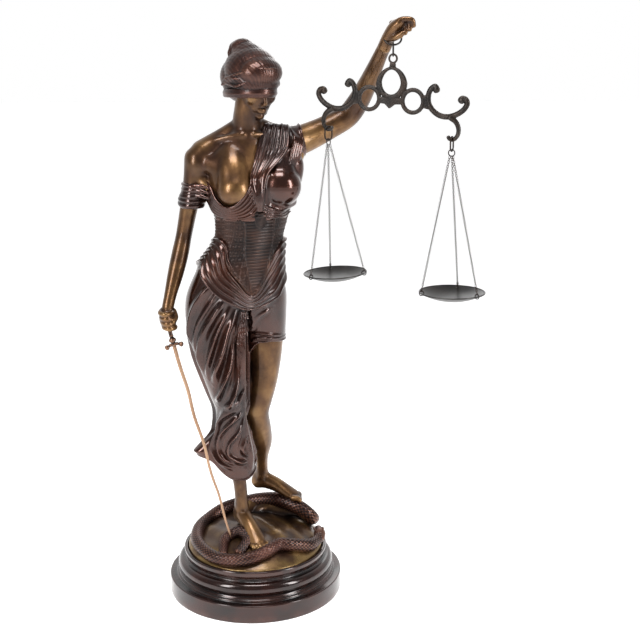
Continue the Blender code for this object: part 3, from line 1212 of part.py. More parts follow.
def build_side(side, word, ring_turn, lug_angles, pan_lean, sway, drop):
    """One hanging set: oval ring, round ring, three chains, three clasps and a pan."""
    bar = hang(side)
    normal = np.array((math.cos(ring_turn), math.sin(ring_turn), 0))
    across = np.array((-normal[1], normal[0], 0))
    half = HOOK_RING_LENGTH / 2 - HOOK_RING_WIRE
    top = bar + np.array((0, 0, HOOK_STROKE + HANG_GAP + HOOK_RING_WIRE))
    oval_centre = top - np.array((0, 0, half))
    bm = bmesh.new()
    wide = HOOK_RING_WIDTH / 2 - HOOK_RING_WIRE
    ring_mesh(bm, oval_centre, normal, wide, HOOK_RING_WIRE, 16, 4, stretch=half / wide)
    add_object(word + "_hook_ring", bm, "iron")

    bottom = oval_centre - np.array((0, 0, half))
    ring_centre = bottom + np.array((0, 0, HOOK_RING_WIRE + TOUCH_GAP + CHAIN_RING_WIRE - CHAIN_RING_RADIUS))
    bm = bmesh.new()
    ring_mesh(bm, ring_centre, across, CHAIN_RING_RADIUS, CHAIN_RING_WIRE, 12, 4)
    add_object(word + "_chain_ring", bm, "chain")

    rim = ring_centre + np.array((sway, 0, -drop))
    lean = Matrix.Rotation(pan_lean, 3, "Y")
    pan = build_pan(word, rim, lean, lug_angles)
    for k, degrees in enumerate(lug_angles, 1):
        a = math.radians(degrees)
        reach = PAN_RADIUS - LUG_INSET + CLASP_OUT
        clasp = np.array(lean @ Vector((reach * math.cos(a), reach * math.sin(a), CLASP_RISE))) + rim
        flat = np.array((-math.sin(a), math.cos(a), 0))
        bm = bmesh.new()
        ring_mesh(bm, clasp, flat, CLASP_RADIUS, CLASP_WIRE, 8, 4)
        add_object(f"{word}_clasp_{k}", bm, "chain")
        fan = np.array((math.cos(a), math.sin(a), 0))
        start = ring_centre + fan * CHAIN_RING_RADIUS * 0.55 \
            - np.array((0, 0, CHAIN_RING_RADIUS + CHAIN_RING_WIRE + CHAIN_RADIUS + TOUCH_GAP * 4))
        end = clasp + np.array((0, 0, CLASP_RADIUS + CLASP_WIRE + CHAIN_RADIUS + TOUCH_GAP * 4))
        build_chain(f"{word}_chain_{k}", start, end)
    return pan


def build_chain(name, start, end):
    """A slim chain, as a bar of four sides that swells at each group of links."""
    axis = end - start
    axis /= np.linalg.norm(axis)
    side = np.cross(axis, (0, 1, 0))
    side /= np.linalg.norm(side)
    front = np.cross(side, axis)
    rings = []
    count = 2 * CHAIN_BEADS + 1
    for i in range(count):
        t = i / (count - 1)
        radius = CHAIN_RADIUS * (1.0 if i % 2 else 0.62)
        centre = start + (end - start) * t
        rings.append(np.array([centre + side * radius, centre + front * radius,
                               centre - side * radius, centre - front * radius]))
    bm = bmesh.new()
    add_rings(bm, rings)
    bmesh.ops.recalc_face_normals(bm, faces=bm.faces)
    add_object(name, bm, "chain", smooth=False)


def build_pan(word, rim, lean, lug_angles):
    """A shallow round dish with a rolled edge and three small holes near it."""
    outer = [(PAN_RADIUS * s, -PAN_DEPTH * (1 - s ** 2.4)) for s in (0.45, 0.80)]
    profile = [(0.0001, -PAN_DEPTH)] + outer + [(PAN_RADIUS, -0.0004), (PAN_RADIUS, 0.0010),
                                               (PAN_RADIUS - 0.0012, 0.0017)]
    inner = [(PAN_RADIUS * s - 0.0006, -PAN_DEPTH * (1 - s ** 2.4) + PAN_WALL)
             for s in (0.80, 0.45)]
    profile += inner + [(0.0001, PAN_WALL - PAN_DEPTH)]
    bm = bmesh.new()
    lathe(bm, profile, PAN_SIDES)
    pan = add_object(word + "_pan", bm, "pan", merge=0.0003)
    pan.matrix_world = Matrix.Translation(Vector(rim)) @ lean.to_4x4()
    for k, degrees in enumerate(lug_angles, 1):
        a = math.radians(degrees)
        reach = PAN_RADIUS - LUG_INSET
        bm = bmesh.new()
        lathe(bm, [(0.0001, -0.012), (LUG_HOLE, -0.012), (LUG_HOLE, 0.012), (0.0001, 0.012)], 8)
        hole = add_object(f"{word}_pan_hole_{k}", bm, "pan", smooth=False)
        hole.matrix_world = (Matrix.Translation(Vector(rim)) @ lean.to_4x4()
                             @ Matrix.Translation(Vector((reach * math.cos(a), reach * math.sin(a), 0))))
        cut(pan, hole)
    return pan


def main():
    clear_scene()
    build_plinth()
    figure = build_figure()
    cut(figure, seat_cutter())
    cut(figure, sword_cutter())
    cut(figure, point_cutter())
    cut(figure, hand_ring_cutter())
    build_sword()
    build_hand_ring()
    build_link()
    build_beam()
    build_side(-1, "left", BEAM_TURN - math.radians(30), (95, 215, 335), math.radians(-3),
               LEFT_PAN_SWAY, LEFT_PAN_DROP)
    build_side(1, "right", BEAM_TURN, (70, 190, 310), 0.0, RIGHT_PAN_SWAY, RIGHT_PAN_DROP)


main()
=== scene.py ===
import math

import bmesh
import bpy
import numpy as np
from mathutils import Matrix, Vector


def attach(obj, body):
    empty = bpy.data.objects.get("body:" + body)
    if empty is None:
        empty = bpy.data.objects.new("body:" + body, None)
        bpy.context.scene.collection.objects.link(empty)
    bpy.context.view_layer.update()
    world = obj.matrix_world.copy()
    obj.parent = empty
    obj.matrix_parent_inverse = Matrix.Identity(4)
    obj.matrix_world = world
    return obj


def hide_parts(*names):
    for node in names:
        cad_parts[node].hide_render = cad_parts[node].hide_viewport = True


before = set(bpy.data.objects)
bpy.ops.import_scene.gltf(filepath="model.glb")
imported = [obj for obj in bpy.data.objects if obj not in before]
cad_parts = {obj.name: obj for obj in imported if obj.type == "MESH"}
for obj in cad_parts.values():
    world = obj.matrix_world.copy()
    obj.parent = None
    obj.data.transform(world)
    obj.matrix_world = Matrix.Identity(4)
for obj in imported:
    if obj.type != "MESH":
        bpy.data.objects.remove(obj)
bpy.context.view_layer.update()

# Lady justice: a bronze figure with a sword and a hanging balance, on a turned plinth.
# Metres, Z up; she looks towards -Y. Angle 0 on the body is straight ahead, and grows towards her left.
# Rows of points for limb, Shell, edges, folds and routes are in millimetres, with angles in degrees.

# Curves, rings and swept forms


def smoothRoute(points, steps=8):
    p = np.array(points, float)
    padded = np.vstack([2 * p[0] - p[1], p, 2 * p[-1] - p[-2]])
    out = []
    for i in range(len(p) - 1):
        a, b, c, d = padded[i:i + 4]
        for k in range(steps):
            t = k / steps
            out.append(0.5 * ((2 * b) + (c - a) * t + (2 * a - 5 * b + 4 * c - d) * t ** 2
                              + (3 * b - a - 3 * c + d) * t ** 3))
    out.append(p[-1])
    return np.array(out)


def addRings(bm, rings, closedRoute=False):
    layers = [[bm.verts.new(p) for p in ring] for ring in rings]
    count = len(layers[0])
    for i in range(len(layers) if closedRoute else len(layers) - 1):
        low, high = layers[i], layers[(i + 1) % len(layers)]
        for k in range(count):
            bm.faces.new((low[k], low[(k + 1) % count], high[(k + 1) % count], high[k]))
    if not closedRoute:
        bm.faces.new(layers[0][::-1])
        bm.faces.new(layers[-1])


def routeFrames(route, up):
    tangents = np.gradient(route, axis=0)
    tangents /= np.linalg.norm(tangents, axis=1)[:, None]
    frames, guide = [], np.array(up, float)
    for t in tangents:
        side = np.cross(t, guide)
        if np.linalg.norm(side) < 1e-3:
            side = np.cross(t, (1, 0, 0))
        side /= np.linalg.norm(side)
        guide = np.cross(side, t)
        frames.append((side, guide))
    return frames


def capRing(ring, direction, share):
    centre = ring.mean(0)
    spread = ring - centre
    size = np.linalg.norm(spread, axis=1).mean()
    direction = direction / max(np.linalg.norm(direction), 1e-9)
    return centre + spread * math.sqrt(1 - share ** 2) + direction * size * share * 0.8


def roundEnds(rings):
    lead = rings[0].mean(0) - rings[1].mean(0)
    tail = rings[-1].mean(0) - rings[-2].mean(0)
    shares = (0.97, 0.85, 0.6, 0.3)
    return ([capRing(rings[0], lead, s) for s in shares] + list(rings)
            + [capRing(rings[-1], tail, s) for s in shares[::-1]])


def addLimb(bm, stations, sides=24, steps=8, up=(0, 1, 0), rounding=True, relief=None):
    # Stations are (x, y, z, half width, half depth), and relief(along, around) lifts the skin
    route = smoothRoute(stations, steps)
    frames = routeFrames(route[:, :3], up)
    length = np.concatenate([[0], np.cumsum(np.linalg.norm(np.diff(route[:, :3], axis=0), axis=1))])
    angle = np.linspace(0, 2 * math.pi, sides, endpoint=False)
    rings = []
    for row, (side, guide), along in zip(route, frames, length):
        lift = relief(along, angle) if relief else np.zeros(sides)
        rings.append(row[:3] + np.outer(np.cos(angle), side) * (row[3] + lift)[:, None]
                     + np.outer(np.sin(angle), guide) * (row[4] + lift)[:, None])
    addRings(bm, roundEnds(rings) if rounding else rings)


def limb(bm, rows, **how):
    # A limb from rows in millimetres
    addLimb(bm, np.array(rows) / 1000, **how)


def addBall(bm, centre, radii, axes=None, segments=36):
    made = bmesh.ops.create_uvsphere(bm, u_segments=segments, v_segments=segments * 2 // 3, radius=1.0)
    turn = Matrix.Identity(3) if axes is None else Matrix(axes).transposed()
    for v in made["verts"]:
        v.co = turn @ Vector((v.co.x * radii[0], v.co.y * radii[1], v.co.z * radii[2])) + Vector(centre)


def addWireRing(bm, centre, normal, radius, wire, segments=64, sides=16, stretch=1.0, longAxis=(0, 0, 1)):
    normal = np.array(normal, float)
    normal /= np.linalg.norm(normal)
    tall = np.array(longAxis, float)
    tall -= normal * (tall @ normal)
    tall /= np.linalg.norm(tall)
    wide = np.cross(tall, normal)
    rings = []
    for i in range(segments):
        a = 2 * math.pi * i / segments
        outward = wide * math.cos(a) + tall * math.sin(a)
        straight = radius * (stretch - 1) * np.sign(round(math.sin(a), 6))
        middle = np.array(centre) + wide * math.cos(a) * radius + tall * (math.sin(a) * radius + straight)
        b = np.linspace(0, 2 * math.pi, sides, endpoint=False)
        rings.append(middle + np.outer(np.cos(b), outward) * wire + np.outer(np.sin(b), normal) * wire)
    addRings(bm, rings, closedRoute=True)


def addLathe(bm, profile, sides):
    angle = np.linspace(0, 2 * math.pi, sides, endpoint=False)
    addRings(bm, [np.stack([r * np.cos(angle), r * np.sin(angle), np.full(sides, h)], axis=1) for r,
                  h in profile])


def smoothValue(x, xs, ys):
    x = np.asarray(x, float)
    i = np.clip(np.searchsorted(xs, x) - 1, 0, len(xs) - 2)
    slope = np.gradient(ys, xs)
    span = xs[i + 1] - xs[i]
    t = np.clip((x - xs[i]) / span, 0, 1)
    return (ys[i] * (1 + 2 * t) * (1 - t) ** 2 + slope[i] * span * t * (1 - t) ** 2
            + ys[i + 1] * t ** 2 * (3 - 2 * t) - slope[i + 1] * span * t ** 2 * (1 - t))


def edgeHeight(points, angle):
    # Points are (degrees, height in millimetres)
    return smoothValue(angle, np.radians([a for a, h in points]), np.array([h for a, h in points]) / 1000)


def bump(x, width):
    return np.exp(-(x / width) ** 2)


def ramp(x, width):
    return np.clip(x / width, 0, 1)


# Making pieces


def objectFrom(name, bm):
    bmesh.ops.recalc_face_normals(bm, faces=bm.faces)
    mesh = bpy.data.meshes.new(name)
    bm.to_mesh(mesh)
    bm.free()
    obj = bpy.data.objects.new(name, mesh)
    bpy.context.scene.collection.objects.link(obj)
    return obj


def bake(obj):
    # Apply what the modifiers make, and keep the object
    depsgraph = bpy.context.evaluated_depsgraph_get()
    made = bpy.data.meshes.new_from_object(obj.evaluated_get(depsgraph))
    old = obj.data
    obj.modifiers.clear()
    obj.data = made
    bpy.data.meshes.remove(old)
    return obj


def melt(name, forms, voxel, rounds):
    # Draw the forms, melt them into one skin and soften it
    bm = bmesh.new()
    for form in forms:
        form(bm)
    obj = objectFrom(name, bm)
    remesh = obj.modifiers.new("skin", "REMESH")
    remesh.mode = "VOXEL"
    remesh.voxel_size = voxel
    soften = obj.modifiers.new("soften", "SMOOTH")
    soften.factor = 0.5
    soften.iterations = rounds
    return bake(obj)


def meltInto(bm, forms, voxel, rounds):
    obj = melt("soft", forms, voxel, rounds)
    bm.from_mesh(obj.data)
    bpy.data.objects.remove(obj, do_unlink=True)


def thin(obj, most):
    # Collapse the flattest faces until the piece has no more than this many triangles
    count = sum(len(p.vertices) - 2 for p in obj.data.polygons)
    if count <= most:
        return obj
    fewer = obj.modifiers.new("fewer", "DECIMATE")
    fewer.ratio = most / count
    return bake(obj)


def pointsOf(obj):
    points = np.empty(len(obj.data.vertices) * 3)
    obj.data.vertices.foreach_get("co", points)
    return points.reshape(-1, 3)


def normalsOf(obj):
    normals = np.empty(len(obj.data.vertices) * 3, np.float32)
    obj.data.vertex_normals.foreach_get("vector", normals)
    return normals.reshape(-1, 3).astype(float)


def pushOut(obj, lift):
    points = pointsOf(obj)
    moved = points + normalsOf(obj) * lift(points)[:, None]
    obj.data.vertices.foreach_set("co", moved.ravel())
    obj.data.update()
    return obj


def markWearAndShade(obj, rounds, reach):
    # Stores how far each point stands out of the skin round it: 0 in hollows, 1 on crests
    # Every finish darkens hollows and lightens crests by this mark: partly patina and rubbed metal, partly
    # painted shade in hollows and painted highlight on crests
    points, normals = pointsOf(obj), normalsOf(obj)
    edges = np.empty(len(obj.data.edges) * 2, np.int32)
    obj.data.edges.foreach_get("vertices", edges)
    a, b = edges.reshape(-1, 2).T
    n = len(points)
    count = np.maximum(np.bincount(a, minlength=n) + np.bincount(b, minlength=n), 1)
    soft = points.copy()
    for _ in range(rounds):
        for axis in range(3):
            column = soft[:, axis]
            near = np.bincount(a, column[b], n) + np.bincount(b, column[a], n)
            soft[:, axis] = 0.3 * column + 0.7 * near / count
    stand = ((points - soft) * normals).sum(1)
    wornAndShaded = np.clip(0.5 + 0.5 * stand / reach, 0, 1)
    mark = obj.data.attributes.new("wearAndShade", "FLOAT", "POINT")
    mark.data.foreach_set("value", wornAndShaded.astype(np.float32))
    return obj


def finishPiece(obj, nodes, metal, wearAndShade):
    obj.data.shade_smooth()
    markWearAndShade(obj, *wearAndShade)
    obj.data.materials.clear()
    obj.data.materials.append(metals[metal])
    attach(obj, "root")
    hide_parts(*nodes)
    faces = sum(len(p.vertices) - 2 for p in obj.data.polygons)
    print("made", obj.name, faces, "triangles")
    return obj


# Metal finishes: cast metal under a thin lacquer; hollows darker with patina and painted shade, crests
# lighter with rubbed metal and painted highlight


def bronze(name, look):
    material = bpy.data.materials.new(name)
    material.use_nodes = True
    nodes, links = material.node_tree.nodes, material.node_tree.links
    shader = nodes["Principled BSDF"]
    place = nodes.new("ShaderNodeTexCoord").outputs["Object"]
    stretch = nodes.new("ShaderNodeMapping")
    stretch.inputs["Scale"].default_value = look["grain"]
    links.new(place, stretch.inputs["Vector"])

    def noise(size, detail, rough=0.6):
        node = nodes.new("ShaderNodeTexNoise")
        node.inputs["Scale"].default_value = 1 / size
        node.inputs["Detail"].default_value = detail
        node.inputs["Roughness"].default_value = rough
        links.new(stretch.outputs["Vector"], node.inputs["Vector"])
        return node.outputs["Fac"]

    def remap(value, low, high, toLow, toHigh):
        node = nodes.new("ShaderNodeMapRange")
        node.inputs["From Min"].default_value = low
        node.inputs["From Max"].default_value = high
        node.inputs["To Min"].default_value = toLow
        node.inputs["To Max"].default_value = toHigh
        links.new(value, node.inputs["Value"])
        return node.outputs["Result"]

    def add(a, b, kind="ADD"):
        node = nodes.new("ShaderNodeMath")
        node.operation = kind
        links.new(a, node.inputs[0])
        links.new(b, node.inputs[1])
        return node.outputs["Value"]

    # Hollows get the darkest colours and crests the lightest: part patina and rubbed metal, part painted
    # shade and painted highlight
    wearAndShade = nodes.new("ShaderNodeAttribute")
    wearAndShade.attribute_name = "wearAndShade"
    patches = remap(noise(look["patchSize"], 6), 0.3, 0.7, -look["patchShare"], look["patchShare"])
    wornAndShaded = remap(wearAndShade.outputs["Fac"], look["hollow"], look["crest"], 0, 1)
    tone = add(wornAndShaded, patches)
    colours = nodes.new("ShaderNodeValToRGB")
    stops = look["colours"]
    while len(colours.color_ramp.elements) < len(stops):
        colours.color_ramp.elements.new(0.5)
    for element, (at, colour) in zip(colours.color_ramp.elements, stops):
        element.position = at
        element.color = (*colour, 1)
    links.new(tone, colours.inputs["Fac"])
    # A second, wider drift of colour over the casting
    drift = nodes.new("ShaderNodeMix")
    drift.data_type = "RGBA"
    drift.blend_type = "MIX"
    links.new(remap(noise(look["driftSize"], 3), 0.42, 0.68, 0, look["driftShare"]), drift.inputs[0])
    links.new(colours.outputs["Color"], drift.inputs[6])
    drift.inputs[7].default_value = (*look["driftColour"], 1)
    links.new(drift.outputs[2], shader.inputs["Base Color"])
    shader.inputs["Metallic"].default_value = look["metal"]
    speckle = noise(look["speckleSize"], 8, 0.7)
    gloss = add(remap(speckle, 0.3, 0.7, look["smoothest"], look["roughest"]),
                remap(wearAndShade.outputs["Fac"], 0.3, 0.7, look["hollowRough"], 0))
    links.new(gloss, shader.inputs["Roughness"])
    shader.inputs["Coat Weight"].default_value = look["lacquer"]
    shader.inputs["Coat Roughness"].default_value = look["lacquerRough"]
    relief = nodes.new("ShaderNodeBump")
    relief.inputs["Strength"].default_value = look["biteShare"]
    relief.inputs["Distance"].default_value = look["bite"]
    links.new(add(speckle, noise(look["speckleSize"] * 9, 4)), relief.inputs["Height"])
    links.new(relief.outputs["Normal"], shader.inputs["Normal"])
    return material


def finish(colours, middles, patch, wornAndShaded, drift, metal, speckle, rough, lacquer, bite, grain=(1, 1, 1)):
    # Colours run from hollow to crest, and middles says where the inner two lie
    return {"colours": list(zip((0, *middles, 1), colours)), "patchSize": patch[0],
            "patchShare": patch[1], "hollow": wornAndShaded[0], "crest": wornAndShaded[1], "driftSize": drift[0],
            "driftShare": drift[1], "driftColour": drift[2], "metal": metal, "speckleSize": speckle,
            "smoothest": rough[0], "roughest": rough[1], "hollowRough": rough[2], "lacquer": lacquer[0],
            "lacquerRough": lacquer[1], "bite": bite[0], "biteShare": bite[1], "grain": grain}


# Sizes in metres. Patch, drift and bite start with a size and a share, wornAndShaded is (hollow, crest)
# of the mark for patina and painted shade in hollows, rubbed metal and painted highlight on crests, and
# rough is (smoothest, roughest, added in hollows)
finishes = {"skin": finish(((0.016, 0.007, 0.004), (0.06, 0.028, 0.012), (0.165, 0.082, 0.031),
                            (0.33, 0.19, 0.075)), (0.3, 0.6), patch=(0.075, 0.36), wornAndShaded=(-0.05, 1.15),
                           drift=(0.12, 0.85, (0.04, 0.016, 0.009)), metal=0.85, speckle=0.006,
                           rough=(0.3, 0.4, 0.14), lacquer=(0.3, 0.16), bite=(0.0002, 0.2)),
            "cloth": finish(((0.006, 0.003, 0.003), (0.016, 0.007, 0.006), (0.034, 0.014, 0.011),
                             (0.08, 0.034, 0.023)), (0.36, 0.66), patch=(0.05, 0.2), wornAndShaded=(-0.1, 1.15),
                            drift=(0.15, 0.75, (0.085, 0.024, 0.011)), metal=0.8, speckle=0.004,
                            rough=(0.15, 0.24, 0.2), lacquer=(0.7, 0.09), bite=(0.0004, 0.3)),
            "corset": finish(((0.005, 0.003, 0.003), (0.014, 0.008, 0.007), (0.03, 0.016, 0.012),
                              (0.09, 0.042, 0.026)), (0.4, 0.7), patch=(0.03, 0.24), wornAndShaded=(0.0, 1.1),
                             drift=(0.1, 0.45, (0.1, 0.034, 0.016)), metal=0.75, speckle=0.0024,
                             rough=(0.3, 0.46, 0.2), lacquer=(0.2, 0.25), bite=(0.0006, 0.4)),
            "hair": finish(((0.006, 0.003, 0.003), (0.028, 0.011, 0.009), (0.062, 0.024, 0.017),
                            (0.11, 0.052, 0.034)), (0.38, 0.68), patch=(0.04, 0.2), wornAndShaded=(-0.1, 1.15),
                           drift=(0.08, 0.5, (0.07, 0.026, 0.015)), metal=0.8, speckle=0.0026,
                           rough=(0.26, 0.4, 0.18), lacquer=(0.3, 0.18), bite=(0.0005, 0.35)),
            "mound": finish(((0.012, 0.006, 0.004), (0.042, 0.02, 0.011), (0.115, 0.062, 0.026),
                             (0.3, 0.19, 0.07)), (0.34, 0.66), patch=(0.055, 0.36), wornAndShaded=(0.1, 0.95),
                            drift=(0.09, 0.7, (0.066, 0.034, 0.022)), metal=0.88, speckle=0.003,
                            rough=(0.24, 0.38, 0.16), lacquer=(0.3, 0.16), bite=(0.0004, 0.35)),
            "serpent": finish(((0.005, 0.003, 0.003), (0.022, 0.011, 0.01), (0.07, 0.028, 0.02),
                               (0.14, 0.062, 0.038)), (0.45, 0.74), patch=(0.04, 0.22), wornAndShaded=(0.1, 1.0),
                              drift=(0.1, 0.65, (0.11, 0.034, 0.022)), metal=0.82, speckle=0.002,
                              rough=(0.26, 0.4, 0.2), lacquer=(0.3, 0.18), bite=(0.0004, 0.3)),
            "plinth": finish(((0.005, 0.003, 0.003), (0.012, 0.006, 0.005), (0.024, 0.009, 0.007),
                              (0.07, 0.03, 0.022)), (0.4, 0.75), patch=(0.045, 0.25), wornAndShaded=(0.1, 1.15),
                             drift=(0.05, 0.6, (0.05, 0.012, 0.007)), metal=0.5, speckle=0.006,
                             rough=(0.14, 0.24, 0.1), lacquer=(0.6, 0.1), bite=(0.0003, 0.2)),
            "blade": finish(((0.11, 0.052, 0.03), (0.23, 0.125, 0.075), (0.32, 0.185, 0.115),
                             (0.45, 0.29, 0.19)), (0.5, 0.8), patch=(0.03, 0.25), wornAndShaded=(0.1, 0.9),
                            drift=(0.05, 0.4, (0.2, 0.095, 0.052)), metal=0.95, speckle=0.0015,
                            rough=(0.26, 0.44, 0.1), lacquer=(0.0, 0.2), bite=(0.0003, 0.3),
                            grain=(1, 1, 0.12)), "hilt": finish(((0.006, 0.004, 0.003),
                                                                 (0.028, 0.014, 0.01),
                                                                 (0.075, 0.038, 0.024),
                                                                 (0.24, 0.13, 0.08)), (0.45, 0.75),
                                                                patch=(0.012, 0.2), wornAndShaded=(0.15, 0.95),
                                                                drift=(0.02, 0.4, (0.08, 0.032, 0.02)),
                                                                metal=0.85, speckle=0.0012,
                                                                rough=(0.26, 0.4, 0.2),
                                                                lacquer=(0.2, 0.2), bite=(0.0003, 0.3)),
            "iron": finish(((0.006, 0.005, 0.005), (0.015, 0.013, 0.012), (0.028, 0.024, 0.022),
                            (0.09, 0.08, 0.072)), (0.42, 0.7), patch=(0.018, 0.16), wornAndShaded=(0.05, 1.1),
                           drift=(0.03, 0.55, (0.04, 0.024, 0.016)), metal=0.85, speckle=0.0016,
                           rough=(0.32, 0.5, 0.16), lacquer=(0.05, 0.3), bite=(0.0005, 0.4)),
            "chain": finish(((0.004, 0.003, 0.003), (0.01, 0.007, 0.006), (0.022, 0.014, 0.012),
                             (0.06, 0.036, 0.03)), (0.45, 0.75), patch=(0.01, 0.2), wornAndShaded=(0.1, 0.95),
                            drift=(0.02, 0.5, (0.03, 0.014, 0.01)), metal=0.5, speckle=0.001,
                            rough=(0.3, 0.42, 0.1), lacquer=(0.0, 0.3), bite=(0.0002, 0.2)),
            "pan": finish(((0.008, 0.007, 0.007), (0.022, 0.021, 0.02), (0.036, 0.034, 0.033),
                           (0.09, 0.086, 0.082)), (0.45, 0.75), patch=(0.025, 0.22), wornAndShaded=(0.1, 0.95),
                          drift=(0.04, 0.45, (0.04, 0.032, 0.028)), metal=0.88, speckle=0.0014,
                          rough=(0.28, 0.4, 0.08), lacquer=(0.1, 0.25), bite=(0.0003, 0.25)), }
metals = {name: bronze(name, look) for name, look in finishes.items()}
print("finishes ready")

# Body: the way she stands and the ovals of her trunk

bodyTurn = math.radians(22)
across = np.array((math.cos(bodyTurn), math.sin(bodyTurn), 0))
ahead = np.array((math.sin(bodyTurn), -math.cos(bodyTurn), 0))


class Shell:

    # Ovals round the trunk from rows (height, centre x, centre y, half width, half depth) in millimetres
    def __init__(self, stations):
        rows = np.array(stations) / 1000
        self.z, self.rows = rows[:, 0], rows

    def section(self, z):
        return [smoothValue(z, self.z, self.rows[:, k]) for k in range(1, 5)]

    def surface(self, angle, z, lift):
        cx, cy, wide, deep = self.section(z)
        wide, deep = np.maximum(wide + lift, 0.006), np.maximum(deep + lift, 0.006)
        out = (np.sin(angle) * wide)[..., None] * across + (np.cos(angle) * deep)[..., None] * ahead
        return np.stack([cx, cy, z], axis=-1) + out

    def add(self, bm, low, high, lift, turns=300, levels=200):
        gridZ, gridA = np.meshgrid(np.linspace(low, high, levels),
                                   np.linspace(-math.pi, math.pi, turns, endpoint=False), indexing="ij")
        addRings(bm, list(self.surface(gridA, gridZ, lift(gridA, gridZ))))


torso = Shell([(560, -30, 0, 92, 62), (610, -32, 0, 98, 68), (660, -30, -2, 97, 66),
               (710, -24, -5, 86, 58), (755, -6, -6, 69, 47), (805, 2, -8, 73, 50), (850, 2, -6, 80, 54),
               (890, 1, 0, 84, 50), (925, 0, 6, 80, 40), (950, -2, 8, 54, 33), (972, -4, 6, 34, 29)])
hips = Shell([(480, -30, 0, 80, 58), (560, -30, 0, 92, 66), (600, -31, 0, 99, 71),
              (650, -31, -1, 101, 72), (690, -28, -2, 94, 67), (720, -18, -4, 82, 58),
              (750, -7, -6, 72, 51), (775, -2, -7, 73, 51)])
gown = Shell([(238, -28, -16, 34, 36), (250, -32, -16, 38, 39), (272, -38, -17, 43, 43),
              (300, -45, -19, 45, 44), (335, -48, -26, 39, 42), (370, -47, -33, 32, 41),
              (405, -47, -36, 30, 43), (440, -53, -34, 36, 48), (520, -66, -22, 52, 58),
              (580, -72, -12, 62, 64), (640, -60, -6, 74, 68), (700, -40, -4, 70, 60)])
kilt = Shell([(528, 19, 8, 48, 48), (545, 19, 8, 48.5, 50), (600, 16, 8, 54, 58), (650, 5, 6, 65, 65),
              (690, -10, 0, 70, 62)])


def foldLift(angle, z, folds, reach=0.085):
    # Folds are (points of (degrees, height), width, height) in millimetres; each is thin at its ends
    total = np.zeros_like(z)
    flatA = angle * reach
    for points, width, height in folds:
        route = smoothRoute([(math.radians(a) * reach, h / 1000) for a, h in points], 6)
        near, along = np.full(z.shape, 1e9), np.zeros(z.shape)
        for k in range(len(route) - 1):
            p, d = route[k], route[k + 1] - route[k]
            t = np.clip(((flatA - p[0]) * d[0] + (z - p[1]) * d[1]) / max(d @ d, 1e-12), 0, 1)
            away = np.hypot(flatA - p[0] - t * d[0], z - p[1] - t * d[1])
            along = np.where(away < near, (k + t) / (len(route) - 1), along)
            near = np.minimum(near, away)
        taper = np.clip(np.minimum(along, 1 - along) * 5, 0.08, 1)
        u = near / (width / 1000)
        total += height / 1000 * taper * (1.25 * np.exp(-u ** 2 * 1.6) - 0.25
                                          * np.exp(-(u - 1.5) ** 2 * 2.2))
    return total


def addTorso(bm):
    torso.add(bm, 0.752, 0.972, lambda a, z: np.zeros_like(z), turns=90, levels=80)
    limb(bm, [(-3, 10, 945, 34, 32), (-5, 4, 985, 29, 29), (0, -3, 1020, 28.5, 30), (4, -4, 1050, 29, 31)])
    limb(bm, [(-6, 14, 984, 20, 20), (-50, 12, 955, 24, 22), (-92, 4, 926, 30, 28)], up=(0, 0, 1))
    limb(bm, [(2, 14, 984, 20, 20), (46, 16, 960, 26, 24), (90, 18, 945, 32, 31)], up=(0, 0, 1))
    # Collar bones meeting at the pit of the neck
    limb(bm, [(-12, -25.5, 964, 5.5, 5), (-45, -18.5, 959, 6.2, 5.2), (-88, -4, 946, 5.6, 5)])
    limb(bm, [(6, -24.5, 965, 5, 5), (40, -8, 964, 5.8, 5)])
    # Breasts and the muscle over them
    addBall(bm, (-0.0295, -0.049, 0.859), (0.036, 0.0345, 0.036))
    addBall(bm, (-0.028, -0.056, 0.854), (0.024, 0.026, 0.024))
    limb(bm, [(-94, -6, 915, 20, 18), (-58, -32, 900, 23, 16), (-30, -52, 878, 27, 20)])
    limb(bm, [(-36, -18, 940, 20, 12), (-34, -40, 908, 28, 18), (-30, -50, 872, 34, 28)])
    limb(bm, [(-106, 4, 888, 18, 22), (-84, -2, 862, 20, 28), (-70, -6, 838, 16, 28)])
    limb(bm, [(90, 4, 925, 20, 18), (74, -10, 900, 23, 18), (58, -22, 880, 24, 18)])
    for x, y in ((-0.056, 0.022), (0.036, 0.05)):
        addBall(bm, (x, y, 0.905), (0.026, 0.016, 0.036))


def addArms(bm):
    limb(bm, [(88, 16, 946, 31, 31), (120, 26, 957, 27.5, 28.5), (160, 36, 975, 25, 25.5),
              (196, 42, 995, 23.5, 24), (215, 34, 1020, 22.5, 22.5), (230, 12, 1052, 20, 20),
              (243, -18, 1088, 16, 16.5), (254, -47, 1120, 12.5, 14), (260, -60, 1134, 12, 14)],
         up=(0, 0, 1))
    addBall(bm, (-0.103, -0.001, 0.908), (0.026, 0.029, 0.036))
    limb(bm, [(-104, 0, 918, 26, 27), (-112, 2, 870, 21.5, 24), (-124, 4, 815, 18, 21),
              (-135, 4, 762, 16.5, 19), (-142, -4, 730, 17.5, 19.5), (-152, -18, 690, 16.5, 17.5),
              (-163, -32, 648, 13, 14.5), (-169, -40, 622, 12.5, 14)])


